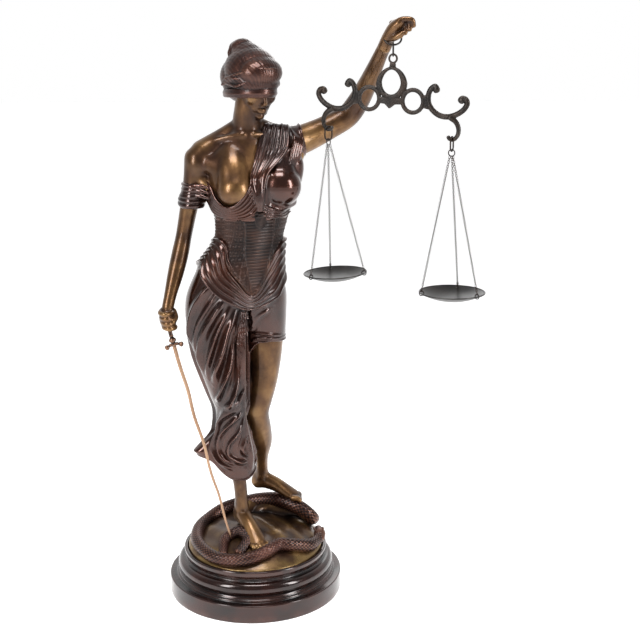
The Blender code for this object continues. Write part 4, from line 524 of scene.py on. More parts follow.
def addHands(bm):
    # The fist round the grip
    addBall(bm, (-0.1705, -0.043, 0.603), (0.0155, 0.018, 0.0215))
    for k in range(4):
        z = 0.6165 - 0.0098 * k
        x = -0.17 + 0.0022 * k
        addLimb(bm, [(x - 0.0105, -0.036, z + 0.002, 0.005, 0.005), (x - 0.0125, -0.054, z, 0.0052, 0.0052),
                     (x - 0.002, -0.0655, z - 0.001, 0.005, 0.005),
                     (x + 0.0085, -0.058, z - 0.001, 0.0048, 0.0048),
                     (x + 0.01, -0.048, z, 0.0045, 0.0045)], sides=14, up=(0, 0, 1))
    limb(bm, [(-158, -36, 616, 7, 7), (-153, -49, 606, 6, 6), (-158, -62, 599, 5.2, 5.2)], sides=14,
         up=(0, 0, 1))
    # The raised hand bends over at the wrist and its fingers curl under, the first reaching out furthest
    limb(bm, [(258, -57, 1130, 12.5, 13.5), (265, -67, 1148, 15, 13), (275, -78, 1166, 17.5, 13),
              (285, -86, 1176, 17, 10.5)], up=(-0.5, 0.1, 0.8))
    tips = ((0.3085, -0.099, 1.169), (0.301, -0.0985, 1.162), (0.293, -0.097, 1.1555),
            (0.285, -0.0945, 1.15))
    for k, tip in enumerate(tips):
        knuckle = np.array((0.289 - 0.003 * k, -0.0965 + 0.0082 * k, 1.1815 - 0.0012 * k))
        bend = (knuckle + np.array(tip)) / 2 + np.array((0.0055, -0.003 + 0.0016 * k, 0.005))
        root = knuckle + np.array((-0.01, 0.004, -0.004))
        addLimb(bm, [(*root, 0.0062, 0.006), (*knuckle, 0.0058, 0.0056), (*bend, 0.0052, 0.005),
                     (*tip, 0.0042, 0.004)], sides=14, up=(0, 1, 0))
    limb(bm, [(264, -74, 1146, 7.5, 7.2), (276, -88, 1149, 6.6, 6.4), (287, -96, 1156, 5.2, 5)], sides=14)


def addLegs(bm):
    limb(bm, [(-50, -40, 400, 24, 26), (-42, -28, 320, 23, 26), (-33, -18, 255, 15.5, 17.5),
              (-29, -18, 215, 14, 16.5), (-28, -16, 180, 16, 19)])
    limb(bm, [(20, 14, 600, 40, 43), (23, 10, 540, 40, 43), (21, 2, 470, 32, 35), (13, -4, 425, 28, 30),
              (6, -3, 390, 26.2, 27.5), (9, 16, 350, 27.5, 29), (14, 36, 312, 25, 26.5),
              (15, 54, 272, 16, 18.5), (16, 66, 242, 13.5, 16.5), (16, 72, 222, 15, 19)])
    addBall(bm, (0.002, -0.023, 0.398), (0.0165, 0.01, 0.02))


def addFeet(bm):
    limb(bm, [(-28, -16, 200, 14.5, 17), (-32, 0, 158, 15, 16), (-26, -18, 164, 16, 19),
              (-14, -46, 156, 16.5, 16.5), (-2, -72, 141, 18.5, 11.5), (5, -88, 132.5, 18.5, 8.5)],
         up=(0, 0, 1))
    limb(bm, [(16, 72, 228, 14, 16.5), (6, 78, 202, 14.5, 14.5), (20, 71, 208, 16, 18.5),
              (44, 64, 201, 16.5, 16), (70, 58, 186.5, 18.5, 11.5), (87, 53, 178, 18.5, 8.2)],
         up=(0, 0, 1))


def addAllToes(bm):
    addToes(bm, (0.0075, -0.0925, 0.13), (0.4, -0.91, -0.14), (0.915, 0.4, 0), 1)
    addToes(bm, (0.0895, 0.0525, 0.1765), (0.955, -0.27, -0.12), (0.27, 0.963, 0), -1)


def addToes(bm, root, forward, sideways, bigSide):
    forward, sideways = np.array(forward), np.array(sideways)
    for k in range(5):
        width = 0.0062 if k == 4 else 0.0044
        reach = 0.0175 if k >= 3 else 0.015 - 0.0016 * (2 - k)
        start = np.array(root) + sideways * (k - 2) * 0.0077 * bigSide - forward * 0.004
        middle = start + forward * reach * 0.6 + np.array((0, 0, 0.0012))
        end = start + forward * reach - np.array((0, 0, 0.002))
        addLimb(bm, [(*start, width, width * 1.1), (*middle, width * 0.95, width),
                     (*end, width * 0.9, width * 0.8)], sides=14, up=(0, 0, 1))


# Head: x to her left, y ahead, z up from the line of the eyes

headTurn, headPitch = math.radians(32), math.radians(17)
headCentre = np.array((0.01, -0.004, 1.06))
headSide = np.array((math.cos(headTurn), math.sin(headTurn), 0))
headAhead = np.array((math.sin(headTurn) * math.cos(headPitch),
                      -math.cos(headTurn) * math.cos(headPitch), -math.sin(headPitch)))
headUp = np.cross(headAhead, headSide)
headUnit = 0.121


def onHead(x, y, z):
    return headCentre + headSide * x + headAhead * y + headUp * z


def headBall(bm, x, y, z, radii):
    addBall(bm, onHead(x, y, z), radii, (headSide, headAhead, headUp))


def headLimb(bm, stations, up=None):
    addLimb(bm, [(*onHead(*s[:3]), s[3], s[4]) for s in stations], sides=16,
            up=headUp if up is None else up)


def unitBall(bm, x, y, z, radii):
    # The same in heights of the head
    headBall(bm, *(headUnit * v for v in (x, y, z)), headUnit * np.array(radii))


def unitLimb(bm, rows, up=None):
    headLimb(bm, headUnit * np.array(rows), up)


def addSkull(bm):
    # Eyes at half the head, nose at half of what is left, mouth a third below
    unitBall(bm, 0, -0.08, 0.06, (0.33, 0.42, 0.36))
    unitBall(bm, 0, 0.09, -0.11, (0.285, 0.28, 0.36))
    unitBall(bm, 0, 0.15, -0.16, (0.265, 0.225, 0.25))
    unitLimb(bm, [(0, 0.17, -0.2, 0.225, 0.17), (0, 0.22, -0.32, 0.18, 0.14),
                  (0, 0.25, -0.4, 0.12, 0.1)], up=headAhead)
    for s in (-1, 1):
        unitLimb(bm, [(s * 0.25, 0.0, -0.12, 0.065, 0.09),
                      (s * 0.215, 0.09, -0.28, 0.065, 0.08),
                      (s * 0.1, 0.24, -0.39, 0.065, 0.065)])
        unitBall(bm, s * 0.145, 0.255, -0.13, (0.125, 0.09, 0.12))
    unitBall(bm, 0, 0.245, -0.27, (0.19, 0.115, 0.15))
    unitBall(bm, 0, 0.3, -0.42, (0.085, 0.072, 0.065))


def addFeatures(bm):
    unitLimb(bm, [(0, 0.33, 0.03, 0.034, 0.034), (0, 0.365, -0.08, 0.033, 0.036),
                  (0, 0.42, -0.19, 0.036, 0.04)], up=headAhead)
    for s in (-1, 1):
        unitBall(bm, s * 0.046, 0.395, -0.215, (0.026, 0.032, 0.024))
    for z, half, thick, out in ((-0.298, 0.092, 0.017, 0.382), (-0.336, 0.078, 0.022, 0.378)):
        unitLimb(bm, [(-half, 0.345, z - 0.006, 0.01, 0.016),
                      (-0.03, out, z, thick, 0.026), (0.03, out, z, thick, 0.026),
                      (half, 0.345, z - 0.006, 0.01, 0.016)])


skinLook = {"bodyVoxel": 0.0024, "bodyRounds": 24, "handVoxel": 0.0011, "handRounds": 4, "voxel": 0.00135,
            "skullVoxel": 0.0016, "skullRounds": 14, "rounds": 7, "most": 130000, "wearAndShade": (30, 0.0024)}


def makeSkin():
    look = skinLook

    def soft(bm):
        meltInto(bm, (addTorso, addArms, addLegs, addFeet), look["bodyVoxel"], look["bodyRounds"])
        meltInto(bm, (addSkull,), look["skullVoxel"], look["skullRounds"])
        meltInto(bm, (addHands, addAllToes, addFeatures), look["handVoxel"], look["handRounds"])

    skin = melt("skin", (soft,), look["voxel"], look["rounds"])
    thin(skin, look["most"])
    return finishPiece(skin, ["figure"], "skin", skinLook["wearAndShade"])


# Hair, diadem and blindfold

hairLook = {"strandDepth": 0.00016, "strands": 84, "capHeight": 0.048, "knotRise": 0.051, "locks": 7,
            "bandHeight": 0.0094, "bandFolds": 2, "bandFront": -0.002, "bandBack": -0.038,
            "voxel": 0.0011, "capVoxel": 0.0018, "capRounds": 12, "most": 88000, "wearAndShade": (10, 0.0006)}


def addBand(bm, zFront, zBack, halfHeight, steps=120, sides=40):
    rings = []
    for i in range(steps):
        a = 2 * math.pi * i / steps
        share = (1 + math.cos(a)) / 2
        z = zBack + (zFront - zBack) * share
        outX, outY = math.sin(a), math.cos(a)
        middle = onHead(outX * 0.0445, outY * 0.0575 - 0.01, z)
        direction = headSide * outX + headAhead * outY
        b = np.linspace(0, 2 * math.pi, sides, endpoint=False)
        height = np.sin(b) * halfHeight
        folds = 0.0005 * np.cos(height / halfHeight * math.pi * hairLook["bandFolds"] + 0.8
                                * math.sin(3 * a))
        rings.append(middle + np.outer(np.cos(b) * (0.0042 + folds), direction) + np.outer(height, headUp))
    addRings(bm, rings, closedRoute=True)


def addHair(bm):
    look = hairLook
    headBall(bm, 0, -0.014, 0.02, (0.0535, 0.059, look["capHeight"]))
    headBall(bm, 0, -0.034, 0.004, (0.051, 0.048, 0.044))
    headBall(bm, 0, 0.014, 0.0305, (0.046, 0.038, 0.03))
    headBall(bm, 0, -0.03, -0.016, (0.044, 0.042, 0.03))
    headBall(bm, 0, -0.006, 0.01, (0.0515, 0.0545, 0.03))
    # The knot of hair swells out of the back of the crown
    rise = look["knotRise"]
    headLimb(bm, [(0, -0.022, rise - 0.026, 0.048, 0.044), (-0.001, -0.04, rise - 0.011, 0.038, 0.036),
                  (-0.003, -0.057, rise + 0.001, 0.026, 0.024)], up=headAhead)


def addLocks(bm):
    look = hairLook
    # Waved locks swept from the brow over each temple to the nape
    for s in (-1, 1):
        for k in range(look["locks"]):
            start = 0.003 + 0.005 * k
            headLimb(bm, [(s * start, 0.044 - 0.0022 * k, 0.024 - 0.001 * k, 0.0024, 0.0024),
                          (s * (start + 0.008), 0.0425 - 0.0032 * k, 0.0275 - 0.003 * k, 0.003, 0.0028),
                          (s * (start + 0.016), 0.0365 - 0.0046 * k, 0.0185 - 0.003 * k, 0.0032, 0.003),
                          (s * (0.05 - 0.0002 * k), 0.006 - 0.004 * k, 0.015 - 0.003 * k, 0.0034, 0.0032),
                          (s * 0.05, -0.024 - 0.002 * k, 0.01 - 0.0036 * k, 0.0028, 0.0026)])
    # The diadem's rim arches over the brow to behind the ears
    arc = []
    for k in range(9):
        a = math.radians(-96 + 24 * k)
        arc.append((0.0535 * math.sin(a), -0.014 + 0.0595 * math.cos(a), 0.01 + 0.036 * math.cos(a),
                    0.0024, 0.0024))
    headLimb(bm, arc)
    # A wound strand round the foot of the knot
    for tilt, size in ((0.0, 0.035), (0.008, 0.029)):
        turn = []
        for i in range(13):
            a = 2 * math.pi * i / 12
            turn.append((size * math.cos(a), -0.044 - tilt + size * 0.8 * math.sin(a),
                         look["knotRise"] - 0.012 + tilt - size * 0.5 * math.sin(a), 0.0028, 0.0028))
        headLimb(bm, turn)
    addBand(bm, look["bandFront"], look["bandBack"], look["bandHeight"])
    headLimb(bm, [(-0.012, -0.068, -0.034, 0.005, 0.006), (0, -0.071, -0.037, 0.006, 0.007),
                  (0.012, -0.068, -0.04, 0.005, 0.006)])


def strandLift(points):
    rel = points - headCentre
    x, y, z = rel @ headSide, rel @ headAhead, rel @ headUp
    band = -0.019 + 0.019 * y / 0.0575
    free = np.clip((np.abs(z - band) - 0.0085) / 0.003, 0, 1)
    turn = np.arctan2(x, z + 0.035)
    waves = np.cos(turn * hairLook["strands"] + 2.4 * np.sin(y * 90) + 1.5 * np.sin(x * 120))
    net = np.cos(turn * 26 - y * 330) * np.cos(turn * 26 + y * 330) * np.clip((z - 0.026) / 0.012, 0, 1)
    return hairLook["strandDepth"] * free * (waves + 1.1 * net)


def makeHair():

    def soft(bm):
        meltInto(bm, (addHair,), hairLook["capVoxel"], hairLook["capRounds"])

    hair = melt("hair", (soft, addLocks), hairLook["voxel"], 2)
    pushOut(hair, strandLift)
    thin(hair, hairLook["most"])
    return finishPiece(hair, ["figure"], "hair", hairLook["wearAndShade"])


# Bodice: the draped upper gown with its strap and sleeve

bodiceLook = {"voxel": 0.00125, "rounds": 3, "most": 118000, "wearAndShade": (26, 0.0026), "cupVoxel": 0.002,
              "cupRounds": 22, "gathers": 9, "fan": 0.0012, "rim": 0.0026, "edge": [(-180, 902),
                                                                                    (-145, 895),
                                                                                    (-115, 880),
                                                                                    (-95, 866),
                                                                                    (-74, 839),
                                                                                    (-50, 827),
                                                                                    (-32, 838),
                                                                                    (-16, 870), (-4, 915),
                                                                                    (3, 935), (20, 958),
                                                                                    (45, 975), (75, 975),
                                                                                    (110, 962),
                                                                                    (150, 928),
                                                                                    (180, 902)]}


def bodiceLift(angle, z):
    below = edgeHeight(bodiceLook["edge"], angle) - z
    fans = bodiceLook["fan"] * np.cos(11 * angle + 34 * (z - 0.88)) * np.clip(below / 0.03, 0, 1)
    full = 0.0042 + fans + bodiceLook["rim"] * bump(below, 0.0038)
    return np.where(below > -0.001, full, full - 0.022 * ramp(-below - 0.001, 0.005))


def drape(bm, points, width, height, steps=10):
    last = len(points) - 1
    stations = [(*p, width * (0.45 if k in (0, last) else 1), height * (0.45 if k in (0, last) else 1))
                for k, p in enumerate(points)]
    addLimb(bm, stations, sides=16, steps=steps)


def blendPoints(first, last, share):
    # Rows between two routes given in millimetres
    return (np.array(first) + (np.array(last) - np.array(first)) * share) / 1000


def addCup(bm):
    torso.add(bm, 0.806, 0.972, bodiceLift, turns=420, levels=200)
    addBall(bm, (0.0585, -0.028, 0.864), (0.0425, 0.0385, 0.041))
    limb(bm, [(44, -12, 940, 22, 14), (52, -24, 908, 30, 18), (57, -30, 880, 36, 26)])
    limb(bm, [(30, -40, 885, 16, 20), (26, -44, 850, 14, 20), (26, -44, 822, 12, 18)])
    limb(bm, [(60, -14, 938, 20, 20), (84, -6, 908, 22, 22), (84, -2, 870, 18, 22), (74, -6, 832, 14, 24)])
    limb(bm, [(26, -42, 828, 12, 18), (52, -34, 824, 12, 18), (78, -14, 832, 12, 18)])


def addBodice(bm):
    look = bodiceLook
    meltInto(bm, (addCup,), look["cupVoxel"], look["cupRounds"])
    torso.add(bm, 0.8, 0.974, bodiceLift, turns=420, levels=200)
    # Short sleeve over the raised shoulder, with a rolled end
    limb(bm, [(66, 12, 940, 34.5, 35), (86, 17, 945, 35, 35), (101, 21, 949, 32.5, 33)], up=(0, 0, 1),
         rounding=False)
    rim = []
    for i in range(13):
        a = 2 * math.pi * i / 12
        rim.append((0.101 + 0.003 * math.cos(2 * a), 0.021 + 0.0325 * math.cos(a),
                    0.949 + 0.0325 * math.sin(a)))
    drape(bm, rim, 0.0026, 0.0026, steps=5)
    # Gathers from the shoulder that draw together between the breasts
    inner = [(36, 50, 930), (34, 28, 968), (31, -4, 980), (16, -28, 936), (10, -41, 912), (2, -64, 880),
             (10, -69, 848), (14, -66.5, 820)]
    outer = [(78, 50, 930), (78, 28, 968), (75, 2, 978), (74, -30, 944), (58, -43, 920), (32, -60, 890),
             (25, -65, 848), (23, -63.5, 820)]
    for k in range(look["gathers"]):
        share = k / (look["gathers"] - 1)
        drape(bm, blendPoints(inner, outer, share), 0.003, 0.0044 + 0.0012 * math.sin(2.3 * k))
    # Slack folds from the sleeve over the outer side of the breast
    for k in range(5):
        share = k / 4
        drape(bm, blendPoints([(80, 2, 976), (88, -21, 957), (81, -31, 927), (78, -34, 900),
                               (82, -34, 872)], [(98, 6, 974), (103, -14, 948), (98, -20, 922),
                                                 (92, -18, 900), (90, -14, 872)], share), 0.0028, 0.0036)
    # Folds that fall from the breast to the belt
    for k in range(4):
        drape(bm, blendPoints([(24, -64, 832), (44, -56, 822), (66, -36, 822), (84, -12, 838)],
                              [(24, -60, 812), (44, -50, 806), (66, -30, 806), (80, -10, 812)], k / 3),
              0.0026, 0.0036)
    # The slipped edge: from the sleeve under the bare breast up to the gathers
    upper = [(-94, -8, 880), (-80, -34, 866), (-67, -54, 840), (-46, -70, 827), (-23, -76.5, 837),
             (-2, -70, 866), (8, -52, 898)]
    lower = [(-96, -6, 846), (-83, -28, 834), (-70, -46, 814), (-40, -70, 807), (-10, -74.5, 809),
             (10, -68, 822), (16, -66, 842)]
    for k in range(6):
        drape(bm, blendPoints(upper, lower, k / 5), 0.0028, 0.0036)
    # Sleeve slipped down her right upper arm, in slack folds
    for k in range(6):
        z = 0.866 - 0.0078 * k
        x = -0.1085 - 0.0016 * k
        turn = []
        for i in range(17):
            a = 2 * math.pi * i / 16
            sag = 0.0034 * math.sin(a + 1.1 * k) + 0.0016 * math.sin(2 * a + 0.7 * k)
            turn.append((x + (0.0235 + 0.001 * math.sin(3 * a + k)) * math.cos(a),
                         0.001 + 0.0265 * math.sin(a), z + sag))
        drape(bm, turn, 0.0058, 0.0046, steps=5)
    # Cloth under the arm, from the sleeve to the slipped edge
    for k in range(3):
        drape(bm, [(-0.116, -0.024, 0.868 - 0.01 * k), (-0.098, -0.029, 0.866 - 0.01 * k),
                   (-0.083, -0.034, 0.862 - 0.01 * k)], 0.0046, 0.0054)


def makeBodice():
    look = bodiceLook
    bodice = melt("bodice", (addBodice,), look["voxel"], look["rounds"])
    thin(bodice, look["most"])
    return finishPiece(bodice, ["figure"], "cloth", look["wearAndShade"])


# Corset: ribs between two cords, scrolled panels beside them, a belt and a medallion

corsetLook = {"ribPitch": 0.0062, "ribHeight": 0.0009, "cord": 0.0018, "scroll": 0.0009, "belt": 0.0022,
              "leftCord": [(0.64, 2), (0.659, 0), (0.705, -6), (0.754, -21), (0.806, -27), (0.835, -28)],
              "rightCord": [(0.64, 4), (0.659, 5), (0.701, 20), (0.748, 29), (0.801, 22), (0.835, 21)],
              "edge": [(-180, 750), (-110, 754), (-87, 758), (-53, 750), (-35, 720), (-16, 687), (1, 657),
                       (12, 672), (22, 704), (47, 741), (68, 750), (120, 750), (180, 750)],
              "medallion": (-2, 0.8), "medallionSize": 0.014, "voxel": 0.00105, "most": 118000,
              "wearAndShade": (12, 0.0013)}


def corsetLift(angle, z):
    look = corsetLook
    above = z - edgeHeight(look["edge"], angle)
    left = smoothValue(z, *np.array(look["leftCord"]).T)
    right = smoothValue(z, *np.array(look["rightCord"]).T)
    degrees = np.degrees(angle)
    reach = 0.085 * math.pi / 180
    toLeft, toRight = (degrees - left) * reach, (degrees - right) * reach
    inside = np.clip(toLeft / 0.003, 0, 1) * np.clip(-toRight / 0.003, 0, 1)
    ribs = look["ribHeight"] * np.cos((z - 0.69) * 2 * math.pi / look["ribPitch"])
    u, v = angle * 0.075, z
    scroll = look["scroll"] * np.cos((u + v) * 2 * math.pi / 0.0125) * np.cos((u - v) * 2 * math.pi / 0.0125)
    curl = 0.6 * look["scroll"] * np.cos(np.hypot((u % 0.0125) - 0.00625, (v % 0.0125) - 0.00625) * 2
                                         * math.pi / 0.0042)
    cords = look["cord"] * (bump(toLeft, 0.0019) + bump(toRight, 0.0019)) * np.clip((0.806 - z) / 0.01, 0,
                                                                                    1)
    belts = look["belt"] * (bump(z - 0.815, 0.0026) + 0.8 * bump(z - 0.8085, 0.0022))
    hem = 0.003 * bump(above, 0.0026) + 0.0016 * bump(above - 0.0062, 0.0018)
    # The medallion: a small pointed arch with a boss
    ma, mz = look["medallion"]
    across2 = (degrees - ma) * reach
    r = np.hypot(across2, (z - mz) * 0.85) / look["medallionSize"]
    badge = 0.0026 * np.clip((1.0 - r) * 6, 0, 1) - 0.0012 * bump(r - 0.7, 0.1) + 0.0012 * bump(r, 0.28)
    point = 0.0085 * np.clip((0.745 - z) / 0.055, 0, 1) * np.exp(-((angle - 0.0) / 0.8) ** 2)
    quiet = 1 - np.clip(bump(r, 1.0) * 1.4, 0, 1)
    pattern = quiet * (ribs * inside + (scroll + curl) * (1 - inside))
    full = 0.0034 + pattern + cords + belts + hem + badge + point
    return np.where(above > -0.002, full, full - 0.016 * ramp(-above - 0.002, 0.004))


def makeCorset():
    look = corsetLook
    corset = melt("corset", (lambda bm: torso.add(bm, 0.64, 0.824, corsetLift, turns=620, levels=300),),
                  look["voxel"], 1)
    thin(corset, look["most"])
    return finishPiece(corset, ["figure"], "corset", corsetLook["wearAndShade"])


# Skirt: the cloth round the hips, the long gown over her right leg and the kilt over her left thigh

skirtLook = {"swagFold": 0.0058, "swagFolds": 5, "voxel": 0.00135, "rounds": 2, "most": 152000,
             "wearAndShade": (30, 0.003), "swagEdge": [(-180, 668), (-140, 694), (-110, 712), (-89, 716),
                                               (-60, 684), (-39, 657), (-23, 638), (-8, 626), (8, 627),
                                               (27, 638), (49, 656), (75, 676), (100, 686), (140, 680),
                                               (180, 668)], "hem": [(-180, 290), (-140, 300), (-110, 306),
                                                                    (-91, 300), (-70, 281), (-43, 262),
                                                                    (-20, 258), (8, 258), (32, 266),
                                                                    (60, 276), (90, 282), (120, 284),
                                                                    (180, 290)], "kiltHem": [(-180, 545),
                                                                                             (-75, 522),
                                                                                             (-50, 529),
                                                                                             (-40, 541),
                                                                                             (-11, 549),
                                                                                             (35, 546),
                                                                                             (90, 545),
                                                                                             (180, 545)],
             "flare": 0.038, "flareHeight": 0.317}

# Folds: routes of (degrees round the body, height), then each fold's width and height, in millimetres
gownFolds = ([([(-43, 683), (-60, 641), (-78, 589), (-92, 540)], 8, 6.8),
              ([(-28, 668), (-42, 625), (-68, 570), (-92, 510)], 5, 4),
              ([(-16, 652), (-30, 610), (-60, 548), (-88, 490)], 8.5, 8),
              ([(-4, 638), (-16, 590), (-40, 536), (-72, 482)], 5.8, 5.6),
              ([(6, 630), (-3, 572), (-22, 526), (-56, 470)], 8, 9.5),
              ([(15, 622), (8, 562), (-6, 505), (-44, 452), (-70, 432)], 6, 8.5),
              ([(26, 618), (20, 545), (12, 480), (-16, 436), (-50, 420)], 6, 8),
              ([(36, 615), (32, 540), (26, 470), (8, 425)], 5, 7),
              ([(46, 610), (46, 530), (42, 455), (28, 405)], 4.5, 7),
              ([(58, 600), (60, 520), (58, 440), (50, 390)], 5.5, 7),
              ([(14, 440), (-20, 425), (-66, 402), (-98, 356)], 7, 5.2), ([(16, 425), (-36, 410),
                                                                           (-72, 384), (-80, 336),
                                                                           (-56, 300), (-14, 284)], 6.5,
                                                                          6.4), ([(22, 412), (-24, 392),
                                                                                  (-58, 362), (-60, 330),
                                                                                  (-38, 306), (2, 292)],
                                                                                 6, 6), ([(32, 410),
                                                                                          (4, 372),
                                                                                          (-26, 344),
                                                                                          (-28, 318),
                                                                                          (0, 300),
                                                                                          (26, 300)], 5.8,
                                                                                         6.2),
              ([(42, 404), (26, 356), (10, 326), (30, 306)], 5.5, 6.4),
              ([(56, 390), (50, 345), (46, 310), (52, 282)], 6, 8),
              ([(72, 370), (72, 325), (80, 292)], 6, 6.4)] + [([(a, 600), (a + 7, 500), (a - 5, 400),
                                                                (a + 6, 330), (a - 4, 290)], 8, 6.4)
                                                              for a in (94, 115, 136, 157, 178, -161,
                                                                        -140, -121)])
kiltFolds = ([([(-52 + 2 * k, 572 + 14 * k), (-28, 604 + 12 * k), (0 + 4 * k, 622 + 14 * k)], 5, 4.2)
              for k in range(3)] + [([(-50, 548 + 18 * k), (-36, 557 + 12 * k), (-8, 558 + 8 * k),
                                      (36, 552 + 6 * k)], 3, 2.6)
                                    for k in range(2)] + [([(a, 640), (a + 5, 580), (a, 552)], 6.5, 4.4)
                                                          for a in (118, 142, 166, -170, -146, -124)])


def swagLift(angle, z):
    low = edgeHeight(skirtLook["swagEdge"], angle)
    top = edgeHeight(corsetLook["edge"], angle)
    above, gap = z - low, top - low
    share = above / gap
    drift = 0.2 * np.sin(2.1 * angle + 1.0) + 0.12 * np.sin(5.3 * angle) + 0.06 * np.sin(11 * angle + 2)
    wave = 0.5 + 0.5 * np.cos(2 * math.pi * (share * skirtLook["swagFolds"] - 0.25 + drift))
    tall = np.clip(gap / 0.065, 0.45, 1.15) * (0.8 + 0.2 * np.sin(3.1 * angle + 4 * share))
    full = 0.004 + skirtLook["swagFold"] * tall * wave ** 1.4 + 0.0022 * bump(above, 0.003)
    full = full - 0.024 * ramp(-above, 0.005)
    return full - 0.02 * ramp(z - top - 0.004, 0.006)


def gownLift(angle, z):
    above = z - edgeHeight(skirtLook["hem"], angle)
    off = ((angle + math.radians(104) + math.pi) % (2 * math.pi) - math.pi) / math.radians(17)
    corner = np.exp(-off ** 2) * np.clip(1 - np.abs(z - skirtLook["flareHeight"]) / 0.044, 0, 1) ** 1.2
    hem = 0.002 * bump(above - 0.002, 0.0026)
    return foldLift(angle, z, gownFolds, 0.055) + skirtLook["flare"] * corner + hem - 0.045 * ramp(-above,
                                                                                                   0.005)


def kiltLift(angle, z):
    above = z - edgeHeight(skirtLook["kiltHem"], angle)
    cords = 0.0024 * bump(above - 0.0022, 0.0024) + 0.0012 * bump(above - 0.0085, 0.0018)
    return foldLift(angle, z, kiltFolds, 0.05) + cords - 0.03 * ramp(-above, 0.004)


def addSkirt(bm):
    hips.add(bm, 0.6, 0.775, swagLift, turns=520, levels=300)
    gown.add(bm, 0.245, 0.7, gownLift, turns=520, levels=520)
    limb(bm, [(-66, -2, 655, 56, 58), (-58, -2, 700, 48, 52), (-44, -3, 735, 36, 44)])
    kilt.add(bm, 0.515, 0.685, kiltLift, turns=360, levels=200)
    # The seam of gathered cloth down the middle
    for k in range(5):
        s = k - 2
        drape(bm, [(-0.021 - 0.004 * s, -0.06 + 0.002 * s, 0.618),
                   (-0.024 - 0.004 * s, -0.0665 + 0.001 * s, 0.54), (-0.024 - 0.0036 * s, -0.067, 0.47),
                   (-0.024 - 0.0032 * s, -0.061, 0.41), (-0.018 - 0.0046 * s, -0.052, 0.35),
                   (-0.012 - 0.0056 * s, -0.04, 0.305)], 0.0026, 0.008)
    # The end of the gathers curls over at the hem
    limb(bm, [(-18, -48, 336, 9, 8), (-11, -45, 308, 11, 10), (-12, -40, 280, 10, 9)])


def makeSkirt():
    look = skirtLook
    skirt = melt("skirt", (addSkirt,), look["voxel"], look["rounds"])
    thin(skirt, look["most"])
    return finishPiece(skirt, ["figure"], "cloth", look["wearAndShade"])


# Mound and serpent

moundLook = {"edge": 0.1425, "foot": 0.0955, "top": 0.142, "voxel": 0.0017, "rounds": 4, "most": 46000,
             "wearAndShade": (40, 0.002), "low": 0.0823}


def moundHeight(x, y):
    r = math.hypot(x, y - 0.008) / 0.1475
    dome = max(0.0, 1 - r ** 2.3) ** 0.9
    lumps = 0.0022 * math.sin(x * 61 + 1.3) * math.sin(y * 53 + 0.4) + 0.0012 * math.sin(x * 118 + y * 91)
    return moundLook["foot"] + (moundLook["top"] - moundLook["foot"]) * dome + lumps * min(1, 1.6 * dome)


def addMound(bm):
    rings = []
    for share in 1 - np.linspace(0, 1, 40) ** 1.4 * 0.97:
        radius = moundLook["edge"] * share
        turn = [2 * math.pi * k / 140 for k in range(140)]
        rings.append(np.array([(radius * math.cos(a), radius * math.sin(a),
                                moundHeight(radius * math.cos(a), radius * math.sin(a))) for a in turn]))
    foot = rings[0].copy()
    foot[:, 2] = moundLook["low"]
    addRings(bm, [foot] + rings)
    addBall(bm, (0.048, 0.072, 0.13), (0.056, 0.024, 0.03))
    addBall(bm, (0.0, 0.088, 0.134), (0.044, 0.022, 0.03))


def makeMound():
    mound = melt("mound", (addMound,), moundLook["voxel"], moundLook["rounds"])
    keep = pointsOf(mound)
    keep[:, 2] = np.maximum(keep[:, 2], moundLook["low"])
    mound.data.vertices.foreach_set("co", keep.ravel())
    thin(mound, moundLook["most"])
    return finishPiece(mound, ["figure"], "mound", moundLook["wearAndShade"])


serpentLook = {"radius": 0.0136, "scaleHeight": 0.0015, "scalesRound": 12, "scalePitch": 0.0082,
               "wearAndShade": (6, 0.0006), "mesh": {"sides": 64, "steps": 24, "up": (0, 0, 1)},
               "route": [(60, 118, -4), (44, 134, 4), (29, 139, 12), (17, 129, 20), (23, 107, 27),
                         (46, 86, 29), (78, 84, 25), (104, 92, 18), (128, 104, 13), (150, 112, 9),
                         (172, 121, 8), (194, 127, 7), (214, 130, 7), (232, 133, 7), (250, 131, 8),
                         (266, 126, 10), (282, 114, 11), (298, 103, 11), (312, 115, 10), (328, 130, 9),
                         (341, 135, 10), (348, 139, 13)], "loop": [(252, 108, 3, 10.5),
                                                                   (258, 78, 6, 11.5),
                                                                   (240, 66, 12, 11.5), (226, 90, 7, 10),
                                                                   (236, 120, 4, 9.5)]}


def serpentStation(angle, *lengths):
    distance, lift, radius = np.array(lengths) / 1000
    x, y = distance * math.cos(math.radians(angle)), distance * math.sin(math.radians(angle))
    return (x, y, moundHeight(x, y) + lift, radius, radius * 0.92)


def scaleLift(along, around):
    n = serpentLook["scalesRound"]
    phase = along / serpentLook["scalePitch"] * math.pi
    diamond = np.abs(np.sin(n * around / 2 + phase) * np.sin(n * around / 2 - phase))
    return serpentLook["scaleHeight"] * (np.sqrt(diamond) - 0.5)


